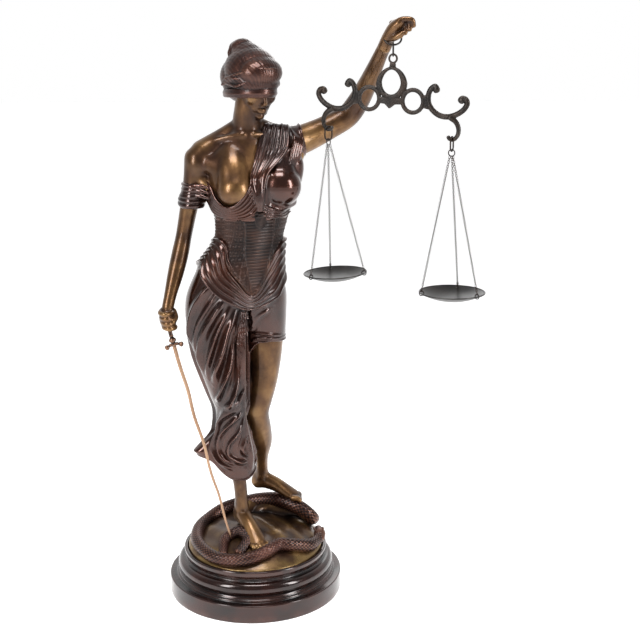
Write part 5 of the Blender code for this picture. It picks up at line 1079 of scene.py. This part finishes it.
def makeSerpent():
    look = serpentLook
    bm = bmesh.new()
    stations = []
    last = len(look["route"]) - 1
    for k, (angle, distance, lift) in enumerate(look["route"]):
        grow = 0.62 + 0.38 * min(1.0, k / 3) if k < last - 1 else 0.86
        grow *= 1 + 0.26 * math.exp(-((k - 5) / 2.2) ** 2)
        stations.append(serpentStation(angle, distance, lift, look["radius"] * grow * 1000))
    for route in (stations, [serpentStation(*row) for row in look["loop"]]):
        addLimb(bm, route, relief=scaleLift, **look["mesh"])
    # Head, flat and broad, with brows and eyes
    tip = np.array(stations[-1][:3])
    addLimb(bm, [(*(tip - (0, 0.004, 0)), 0.0112, 0.0095), (*(tip + (0.001, 0.01, 0.006)), 0.0125, 0.0088),
                 (*(tip + (-0.001, 0.024, 0.011)), 0.0072, 0.0056)], sides=32, up=(0, 0, 1))
    for s in (-1, 1):
        addBall(bm, tip + (s * 0.0082 - 0.001, 0.014, 0.0125), (0.0026, 0.003, 0.0026), segments=18)
        addLimb(bm, [(*(tip + (s * 0.0085, 0.006, 0.0125)), 0.0016, 0.0016),
                     (*(tip + (s * 0.0098 - 0.001, 0.014, 0.015)), 0.0018, 0.0016),
                     (*(tip + (s * 0.0065 - 0.002, 0.021, 0.0125)), 0.0014, 0.0014)], sides=10,
                up=(0, 0, 1))
    serpent = objectFrom("serpent", bm)
    return finishPiece(serpent, ["figure"], "serpent", serpentLook["wearAndShade"])


# Plinth: foot, step, bulge, waist and lip, all turned

plinthLook = {"radius": 0.183, "footHeight": 0.0375, "bulgeRadius": 0.165, "waistRadius": 0.152,
              "lipRadius": 0.1505, "lipWidth": 0.006, "height": 0.096, "seatDepth": 0.014, "sides": 256}


def makePlinth():
    p = plinthLook
    r, foot, top = p["radius"], p["footHeight"], p["height"]
    bulge, lip, lipIn = p["bulgeRadius"], p["lipRadius"], p["lipRadius"] - p["lipWidth"]
    low, high = foot + 0.0085, top - 0.022
    middle, half = (low + high) / 2, (high - low) / 2
    edge = 0.0022
    profile = [(0.0001, 0), (r - 0.0012, 0), (r - 0.0003, 0.0004), (r, 0.0013)]
    profile += [(r, foot * s) for s in (0.25, 0.5, 0.75)]
    for k in range(7):
        a = math.pi / 2 * k / 6
        profile.append((r - edge + edge * math.cos(a), foot - edge + edge * math.sin(a)))
    profile += [(bulge + 0.0052, foot), (bulge + 0.004, foot + 0.0006), (bulge + 0.0035, foot + 0.0016),
                (bulge + 0.0032, foot + 0.0036), (bulge + 0.0022, foot + 0.0044),
                (bulge - 0.0004, foot + 0.005), (bulge - 0.0012, foot + 0.0062), (bulge - 0.0012, low)]
    for k in range(1, 24):
        a = -math.pi / 2 + math.pi * k / 24
        profile.append((bulge - 0.011 + 0.011 * math.cos(a), middle + half * math.sin(a)))
    waist = p["waistRadius"]
    profile += [(waist, high), (waist - 0.0022, high + 0.001), (waist - 0.003, high + 0.0024),
                (waist - 0.003, high + 0.005), (waist - 0.0022, high + 0.0064),
                (lip - 0.001, high + 0.0072), (lip, high + 0.0084)]
    for k in range(9):
        a = math.pi / 2 * k / 8
        profile.append((lip - 0.0018 + 0.003 * math.cos(a), top - 0.0034 + 0.0034 * math.sin(a)))
    profile += [(lipIn + 0.0012, top), (lipIn + 0.0004, top - 0.0004), (lipIn, top - 0.0012),
                (lipIn, top - p["seatDepth"]), (0.0001, top - p["seatDepth"])]
    bm = bmesh.new()
    addLathe(bm, profile, p["sides"])
    plinth = objectFrom("turnedPlinth", bm)
    return finishPiece(plinth, ["plinth"], "plinth", (6, 0.0006))


# Sword: a flat waved blade, a drooping guard with balls, a bulb and a bound grip

swordLook = {"point": (-0.05, -0.072, 0.135), "guard": (-0.158, -0.05, 0.55), "bladeWidth": 0.0078,
             "bladeThickness": 0.0032, "taper": 0.45, "waves": 3.5, "waveSize": 0.0014,
             "guardSpan": 0.015, "guardRadius": 0.0036, "bulb": 0.0072, "grip": 0.0042,
             "gripLength": 0.05}


def swordFrame():
    guard, point = np.array(swordLook["guard"]), np.array(swordLook["point"])
    down = point - guard
    length = np.linalg.norm(down)
    down = down / length
    side = np.cross(down, (0, -1, 0))
    side /= np.linalg.norm(side)
    return guard, down, side, np.cross(side, down), length


def makeSword():
    look = swordLook
    guard, down, side, front, length = swordFrame()
    bm = bmesh.new()
    rings = []
    count = 90
    for i in range(count):
        t = i / (count - 1)
        wave = look["waveSize"] * math.sin(2 * math.pi * look["waves"] * t) * min(1, 4 * t, 4 * (1 - t))
        taper = (1 - look["taper"] * t) * (1 if t < 0.97 else max(0.12, (1 - t) / 0.03))
        centre = guard + down * (length * t) + side * wave
        w, h = look["bladeWidth"] / 2 * taper, look["bladeThickness"] / 2 * taper
        rings.append(np.array([centre + side * w, centre + side * w * 0.92 + front * h * 0.16,
                               centre + front * h, centre - side * w * 0.92 + front * h * 0.16,
                               centre - side * w, centre - side * w * 0.92 - front * h * 0.16,
                               centre - front * h, centre + side * w * 0.92 - front * h * 0.16]))
    addRings(bm, rings)
    blade = objectFrom("blade", bm)
    finishPiece(blade, ["sword"], "blade", (4, 0.0005))
    bm = bmesh.new()
    profile = [(0.004, 0.0026), (0.002, 0.0034), (-0.001, 0.0036), (-0.0035, 0.0034), (-0.005, 0.0044),
               (-0.0075, look["bulb"]), (-0.011, look["bulb"] * 1.04), (-0.014, 0.0046), (-0.016, 0.0034),
               (-0.017, 0.0036), (-0.018, 0.0046), (-0.0195, 0.0046), (-0.0205, 0.004)]
    profile += [(-0.021 - 0.0012 * k, look["grip"] - 0.0003 * (k % 2)) for k in range(24)]
    profile += [(-look["gripLength"], look["grip"])]
    angle = np.linspace(0, 2 * math.pi, 28, endpoint=False)
    addRings(bm,
             [guard + down * along + np.outer(np.cos(angle), side) * r + np.outer(np.sin(angle), front)
              * r for along, r in profile])
    stations = []
    for k in range(13):
        t = k / 6 - 1
        swell = 1.45 if abs(t) > 0.92 else 1.25 if abs(t) > 0.8 else 0.72 if abs(t) > 0.55 else 0.9
        at = guard + side * look["guardSpan"] * t + down * (0.004 * t * t - 0.001)
        stations.append((*at, look["guardRadius"] * swell, look["guardRadius"] * swell))
    addLimb(bm, stations, sides=20, steps=4, up=(0, 1, 0))
    hilt = objectFrom("hilt", bm)
    return finishPiece(hilt, ["sword"], "hilt", (6, 0.0005))


# Balance: ring round the hand, wire link, cast beam, hanging rings, chains and pans

balanceLook = {"hold": (0.272, -0.0733, 1.1475), "handRing": 0.0165, "handWire": 0.0018,
               "linkWire": 0.0011, "linkWidth": 0.0125, "linkLength": 0.027, "gap": 0.0008, "turn": -28,
               "tilt": 2.6, "eyeRadius": 0.0098, "eyeHole": 0.0058, "eyeThickness": 0.0028,
               "thickness": 0.006, "ringWidth": 0.0315, "ringTop": 0.015, "ringFoot": 0.076,
               "holeWidth": 0.0192, "sideRing": 0.0245, "sideHole": 0.0165, "sideOut": 0.0445,
               "sideDrop": 0.0765, "scrollStroke": 0.0054, "hookStroke": 0.0036,
               "hookBottom": (0.1268, -0.142), "knob": 0.3, "voxel": 0.00085, "most": 52000}
ringNormal = np.array((0.0, -0.75, 0.661))
ringDown = np.array((0.0, -0.661, -0.75))
ringWearAndShade = (3, 0.0005)
beamTurn, beamTilt = math.radians(balanceLook["turn"]), math.radians(balanceLook["tilt"])
beamAxis = np.array((math.cos(beamTurn), math.sin(beamTurn), 0))
beamNormal = np.array((-math.sin(beamTurn), math.cos(beamTurn), 0))
linkRise = (balanceLook["handWire"] + balanceLook["gap"] - balanceLook["linkLength"]
            + 4 * balanceLook["linkWire"])
linkBottom = np.array(balanceLook["hold"]) + ringDown * balanceLook["handRing"] + np.array((0, 0, linkRise))
eyeCentre = linkBottom + np.array((0, 0, balanceLook["gap"] - balanceLook["eyeHole"]))


def beamPoint(out, up, off=0.0):
    c, s = math.cos(beamTilt), math.sin(beamTilt)
    u, v = out * c + up * s, up * c - out * s
    return eyeCentre + beamAxis * u + np.array((0, 0, v)) + beamNormal * off


def makeRings(name, node, metal, *rings):
    # One piece of wire rings, each given by addWireRing's values and its options
    bm = bmesh.new()
    for values, options in rings:
        addWireRing(bm, *values, **options)
    finishPiece(objectFrom(name, bm), [node], metal, ringWearAndShade)


def makeHandRing():
    look = balanceLook
    makeRings("handRing", "hand_ring", "iron",
              ((look["hold"], ringNormal, look["handRing"], look["handWire"]), {}))
    middle, half = look["linkWidth"] / 2 - look["linkWire"], look["linkLength"] / 2 - look["linkWire"]
    centre = linkBottom + np.array((0, 0, half - look["linkWire"]))
    normal = (math.cos(beamTurn / 2), math.sin(beamTurn / 2), 0)
    makeRings("wireLink", "hanger_link", "iron",
              ((centre, normal, middle, look["linkWire"]), {"stretch": half / middle}))


def oval(cx, cy, rx, ry, count=72, narrowTop=0.0):
    out = []
    for k in range(count):
        a = 2 * math.pi * k / count
        out.append((cx + rx * math.cos(a) * (1 - narrowTop * max(0.0, math.sin(a))), cy + ry * math.sin(a)))
    return out


def addPlateRing(bm, outer, inner, thickness):
    # A flat cast ring with rounded edges, between two outlines of the same count
    outer, inner = np.array(outer), np.array(inner)
    rings = []
    for k in range(len(outer)):
        o, i = outer[k], inner[k]
        ring = []
        for b in np.linspace(0, 2 * math.pi, 20, endpoint=False):
            c, s = math.cos(b), math.sin(b)
            share = 0.5 + 0.5 * np.sign(c) * abs(c) ** 0.55
            off = 0.5 * thickness * np.sign(s) * abs(s) ** 0.55
            p = i + (o - i) * share
            ring.append(beamPoint(p[0], p[1], off))
        rings.append(np.array(ring))
    addRings(bm, rings, closedRoute=True)


def addPlate(bm, outline, thickness):
    outline = np.array(outline)
    middle = outline.mean(0)
    rings = []
    for off, share in ((-0.5, 0.001), (-0.34, 0.0), (0.34, 0.0), (0.5, 0.001)):
        spread = outline - middle
        size = np.linalg.norm(spread, axis=1)[:, None]
        rings.append(np.array([beamPoint(p[0], p[1], off * thickness)
                               for p in middle + spread * (1 - share / size)]))
    addRings(bm, rings)


def addStroke(bm, points, radius, knobShare, thicker=0.0):
    route = smoothRoute(points, 10)
    tangents = np.gradient(route, axis=0)
    tangents /= np.linalg.norm(tangents, axis=1)[:, None]
    length = np.concatenate([[0], np.cumsum(np.linalg.norm(np.diff(route, axis=0), axis=1))])
    rings = []
    for p, t, along in zip(route, tangents, length):
        knob = 1 + knobShare * math.exp(-((min(along, length[-1] - along) - 0.002) / 0.0045) ** 2)
        knob *= 1 + thicker * (1 - along / length[-1])
        b = np.linspace(0, 2 * math.pi, 20, endpoint=False)
        side = radius * np.cos(b) * knob
        off = balanceLook["thickness"] * 0.54 * np.sin(b) * knob
        rings.append(np.array([beamPoint(p[0] - t[1] * s, p[1] + t[0] * s, o) for s, o in zip(side, off)]))
    addRings(bm, roundEnds(rings))


def addBeam(bm):
    look = balanceLook
    t = look["thickness"]
    middle = -(look["ringTop"] + look["ringFoot"]) / 2
    half = (look["ringFoot"] - look["ringTop"]) / 2
    addPlateRing(bm, oval(0, middle, look["ringWidth"], half, 96, 0.12),
                 oval(-0.001, middle + 0.0018, look["holeWidth"], half - 0.0075, 96, 0.14), t)
    addPlateRing(bm, oval(0, 0, look["eyeRadius"], look["eyeRadius"], 48),
                 oval(0, 0, look["eyeHole"], look["eyeHole"], 48), look["eyeThickness"])
    addPlate(bm, [(-0.0055, -0.0075), (0.0055, -0.0075), (0.0068, -0.019), (-0.0068, -0.019)],
             look["eyeThickness"] * 1.3)
    addPlate(bm, [(-0.028, -0.07), (-0.026, -0.084), (-0.012, -0.085), (-0.002, -0.0935), (0.009, -0.085),
                  (0.024, -0.084), (0.027, -0.07), (0.01, -0.074), (-0.01, -0.074)], t * 0.96)
    for side in (-1, 1):
        out, r, hole = side * look["sideOut"], look["sideRing"], look["sideHole"]
        addPlateRing(bm, oval(out, -look["sideDrop"], r, r * 1.03),
                     oval(out, -look["sideDrop"], hole, hole * 1.03), t)
        scroll = [(0.0905, -0.054), (0.087, -0.0465), (0.0795, -0.051), (0.075, -0.062), (0.076, -0.077),
                  (0.084, -0.0895), (0.098, -0.0985), (0.114, -0.1005), (0.13, -0.096), (0.144, -0.0865),
                  (0.151, -0.075), (0.1485, -0.067), (0.142, -0.0655), (0.1385, -0.07)]
        hook = [(0.12, -0.101), (0.132, -0.109), (0.138, -0.121), (0.137, -0.133), (0.13, -0.1415),
                (0.1225, -0.1412), (0.119, -0.1375)]
        addStroke(bm, [(side * u, v) for u, v in scroll], look["scrollStroke"], look["knob"])
        addStroke(bm, [(side * u, v) for u, v in hook], look["hookStroke"], 0.05, 0.45)
        addPlate(bm, [(side * 0.0665, -0.064), (side * 0.077, -0.06), (side * 0.08, -0.09),
                      (side * 0.0665, -0.088)], t * 0.88)


def makeBeam():
    beam = melt("castBeam", (addBeam,), balanceLook["voxel"], 2)
    pushOut(beam,
            lambda p: 0.00012 * np.sin(p[:, 0] * 900) * np.sin(p[:, 2] * 1100 + 40 * np.sin(p[:,
                                                                                              0] * 300)))
    thin(beam, balanceLook["most"])
    return finishPiece(beam, ["balance_beam"], "iron", (10, 0.0007))


panLook = {"radius": 0.0635, "depth": 0.0155, "wall": 0.0024, "leftDrop": 0.262, "rightDrop": 0.268,
           "leftSway": 0.014, "rightSway": 0.008, "lugInset": 0.0048, "hole": 0.0021,
           "claspRadius": 0.0046, "claspWire": 0.001, "claspOut": 0.0031, "claspRise": 0.0012,
           "endRing": 0.0021, "endWire": 0.0006, "hookRingWire": 0.0015, "hookRingWidth": 0.02,
           "hookRingLength": 0.03, "chainRing": 0.0062, "chainRingWire": 0.0011, "linkPitch": 0.0044,
           "linkHalf": 0.003, "linkWide": 0.0017, "linkWire": 0.00052}


def addChain(bm, start, end):
    # Oval wire links, each turned a quarter from the one before
    p = panLook
    axis = end - start
    length = np.linalg.norm(axis)
    axis = axis / length
    side = np.cross(axis, (0, 1, 0))
    side /= np.linalg.norm(side)
    front = np.cross(side, axis)
    count = int(round(length / p["linkPitch"]))
    for k in range(count):
        centre = start + axis * length * (k + 0.5) / count
        addWireRing(bm, centre, side if k % 2 else front, p["linkWide"], p["linkWire"], segments=14,
                    sides=6, stretch=p["linkHalf"] / p["linkWide"], longAxis=axis)


def makePan(word, rim, lean, lugAngles):
    p = panLook
    r, depth, wall = p["radius"], p["depth"], p["wall"]
    shares = np.linspace(0.02, 0.985, 26)
    profile = [(0.0001, -depth)] + [(r * s, -depth * (1 - s ** 2.4)) for s in shares]
    rimMiddle = (r - 0.0004, 0.0005)
    for k in range(10):
        a = math.radians(-70 + 28 * k)
        profile.append((rimMiddle[0] + 0.0014 * math.cos(a), rimMiddle[1] + 0.0014 * math.sin(a)))
    inner = [(r * s - 0.0006, -depth * (1 - s ** 2.4) + wall * (1 - 0.35 * s)) for s in shares[::-1][1:]]
    profile += inner + [(0.0001, wall - depth)]
    bm = bmesh.new()
    addLathe(bm, profile, 120)
    pan = objectFrom(word + "Dish", bm)
    pan.data.transform(Matrix.Translation(Vector(rim)) @ lean.to_4x4())
    for k, degrees in enumerate(lugAngles):
        a = math.radians(degrees)
        reach = r - p["lugInset"]
        bm = bmesh.new()
        addLathe(bm, [(0.0001, -0.012), (p["hole"], -0.012), (p["hole"], 0.012), (0.0001, 0.012)], 28)
        hole = objectFrom("hole", bm)
        out = Vector((reach * math.cos(a), reach * math.sin(a), 0))
        hole.data.transform(Matrix.Translation(Vector(rim)) @ lean.to_4x4() @ Matrix.Translation(out))
        drill = pan.modifiers.new("drill", "BOOLEAN")
        drill.operation, drill.solver, drill.object = "DIFFERENCE", "EXACT", hole
        bake(pan)
        bpy.data.objects.remove(hole, do_unlink=True)
    finishPiece(pan, [word + "_pan"], "pan", (4, 0.0006))
    pan.data.set_sharp_from_angle(angle=math.radians(50))


def makeSide(side, word, ringTurn, lugAngles, panLean, sway, drop):
    p, look = panLook, balanceLook
    bar = beamPoint(side * look["hookBottom"][0], look["hookBottom"][1])
    normal = np.array((math.cos(ringTurn), math.sin(ringTurn), 0))
    crossways = np.array((-normal[1], normal[0], 0))
    wire, ringWire, ringRadius = p["hookRingWire"], p["chainRingWire"], p["chainRing"]
    half, wide = p["hookRingLength"] / 2 - wire, p["hookRingWidth"] / 2 - wire
    ovalCentre = bar + np.array((0, 0, look["hookStroke"] + look["gap"] + wire - half))
    makeRings(word + "HookRing", word + "_hook_ring", "iron",
              ((ovalCentre, normal, wide, wire), {"stretch": half / wide}))
    ringCentre = ovalCentre - np.array((0, 0, half - wire - 0.0003 - ringWire + ringRadius))
    makeRings(word + "ChainRing", word + "_chain_ring", "chain",
              ((ringCentre, crossways, ringRadius, ringWire), {"segments": 40, "sides": 12}))
    rim = ringCentre + np.array((sway, 0, -drop))
    lean = Matrix.Rotation(panLean, 3, "Y")
    makePan(word, rim, lean, lugAngles)
    for k, degrees in enumerate(lugAngles, 1):
        a = math.radians(degrees)
        reach = p["radius"] - p["lugInset"] + p["claspOut"]
        clasp = np.array(lean @ Vector((reach * math.cos(a), reach * math.sin(a), p["claspRise"]))) + rim
        fan = np.array((math.cos(a), math.sin(a), 0))
        makeRings(f"{word}Clasp{k}", f"{word}_clasp_{k}", "chain",
                  ((clasp, (-fan[1], fan[0], 0), p["claspRadius"], p["claspWire"]),
                   {"segments": 32, "sides": 12}), ((clasp + np.array((0, 0, p["claspRadius"])), fan,
                                                     p["endRing"], p["endWire"]),
                                                    {"segments": 20, "sides": 8}))
        start = ringCentre + fan * ringRadius * 0.55 - np.array((0, 0, ringRadius))
        end = clasp + np.array((0, 0, p["claspRadius"] + 0.0012))
        bm = bmesh.new()
        addChain(bm, start, end)
        finishPiece(objectFrom(f"{word}Chain{k}", bm), [f"{word}_chain_{k}"], "chain", (2, 0.0004))


# Setting: pale floor, soft lights and the camera

settingLook = {"floor": (0.93, 0.93, 0.93), "world": (1.0, 1.0, 1.0), "behind": 1.0, "before": 0.2,
               "glow": 0.62, "lights": [("keyLeft", (-1.5, -1.5, 1.5), (0.0, 0.0, 0.7), (0.5, 1.4), 34),
                                        ("keyRight", (1.7, -1.2, 1.3), (0.0, 0.0, 0.7), (0.45, 1.3), 30),
                                        ("top", (0.0, -0.6, 2.6), (0.0, 0.0, 0.6), (0.9, 0.6), 24),
                                        ("back", (0.4, 1.9, 1.6), (0.0, 0.0, 0.7), (0.8, 1.2), 5)],
               "cameraPlace": (0.0, -2.275, 1.144), "cameraTurn": (76.2, 0.0, -3.5), "lens": 64.125}


def makeSetting():
    s = settingLook
    bm = bmesh.new()
    bmesh.ops.create_grid(bm, x_segments=2, y_segments=2, size=20)
    floor = objectFrom("floor", bm)
    if floor.data.polygons[0].normal.z < 0:
        floor.data.flip_normals()
    paper = bpy.data.materials.new("paper")
    paper.use_nodes = True
    sheet = paper.node_tree.nodes["Principled BSDF"].inputs
    sheet["Base Color"].default_value = (*s["floor"], 1)
    sheet["Roughness"].default_value = 0.9
    sheet["Specular IOR Level"].default_value = 0.1
    sheet["Emission Color"].default_value = (*s["floor"], 1)
    sheet["Emission Strength"].default_value = s["glow"]
    floor.data.materials.append(paper)
    world = bpy.data.worlds.new("studio")
    world.use_nodes = True
    world.node_tree.nodes["Background"].inputs["Color"].default_value = (*s["world"], 1)
    # The paper sweep behind her is brighter than the room before her
    nodes, links = world.node_tree.nodes, world.node_tree.links
    split = nodes.new("ShaderNodeSeparateXYZ")
    links.new(nodes.new("ShaderNodeTexCoord").outputs["Generated"], split.inputs["Vector"])
    share = nodes.new("ShaderNodeMapRange")
    share.interpolation_type = "SMOOTHSTEP"
    share.inputs["From Min"].default_value = -0.2
    share.inputs["From Max"].default_value = 0.8
    share.inputs["To Min"].default_value = s["before"]
    share.inputs["To Max"].default_value = s["behind"]
    links.new(split.outputs["Y"], share.inputs["Value"])
    links.new(share.outputs["Result"], nodes["Background"].inputs["Strength"])
    bpy.context.scene.world = world
    for name, place, aim, size, power in s["lights"]:
        lamp = bpy.data.lights.new(name, "AREA")
        lamp.shape = "RECTANGLE"
        lamp.size, lamp.size_y, lamp.energy = size[0], size[1], power
        obj = bpy.data.objects.new(name, lamp)
        obj.location = place
        obj.rotation_euler = (Vector(aim) - Vector(place)).to_track_quat("-Z", "Y").to_euler()
        bpy.context.scene.collection.objects.link(obj)
    lens = bpy.data.cameras.new("camera")
    lens.lens, lens.sensor_width = s["lens"], 36
    camera = bpy.data.objects.new("camera", lens)
    camera.location = s["cameraPlace"]
    camera.rotation_euler = [math.radians(v) for v in s["cameraTurn"]]
    bpy.context.scene.collection.objects.link(camera)
    bpy.context.scene.camera = camera
    bpy.context.scene.view_settings.view_transform = "Standard"


makeSetting()
print("setting ready")
makeSkin()
makeHair()
makeBodice()
makeCorset()
makeSkirt()
makeMound()
makeSerpent()
makePlinth()
makeSword()
makeHandRing()
makeBeam()
makeSide(-1, "left", beamTurn - math.radians(30), (95, 215, 335), math.radians(-3), panLook["leftSway"],
         panLook["leftDrop"])
makeSide(1, "right", beamTurn, (70, 190, 310), 0.0, panLook["rightSway"], panLook["rightDrop"])
print("pieces ready")
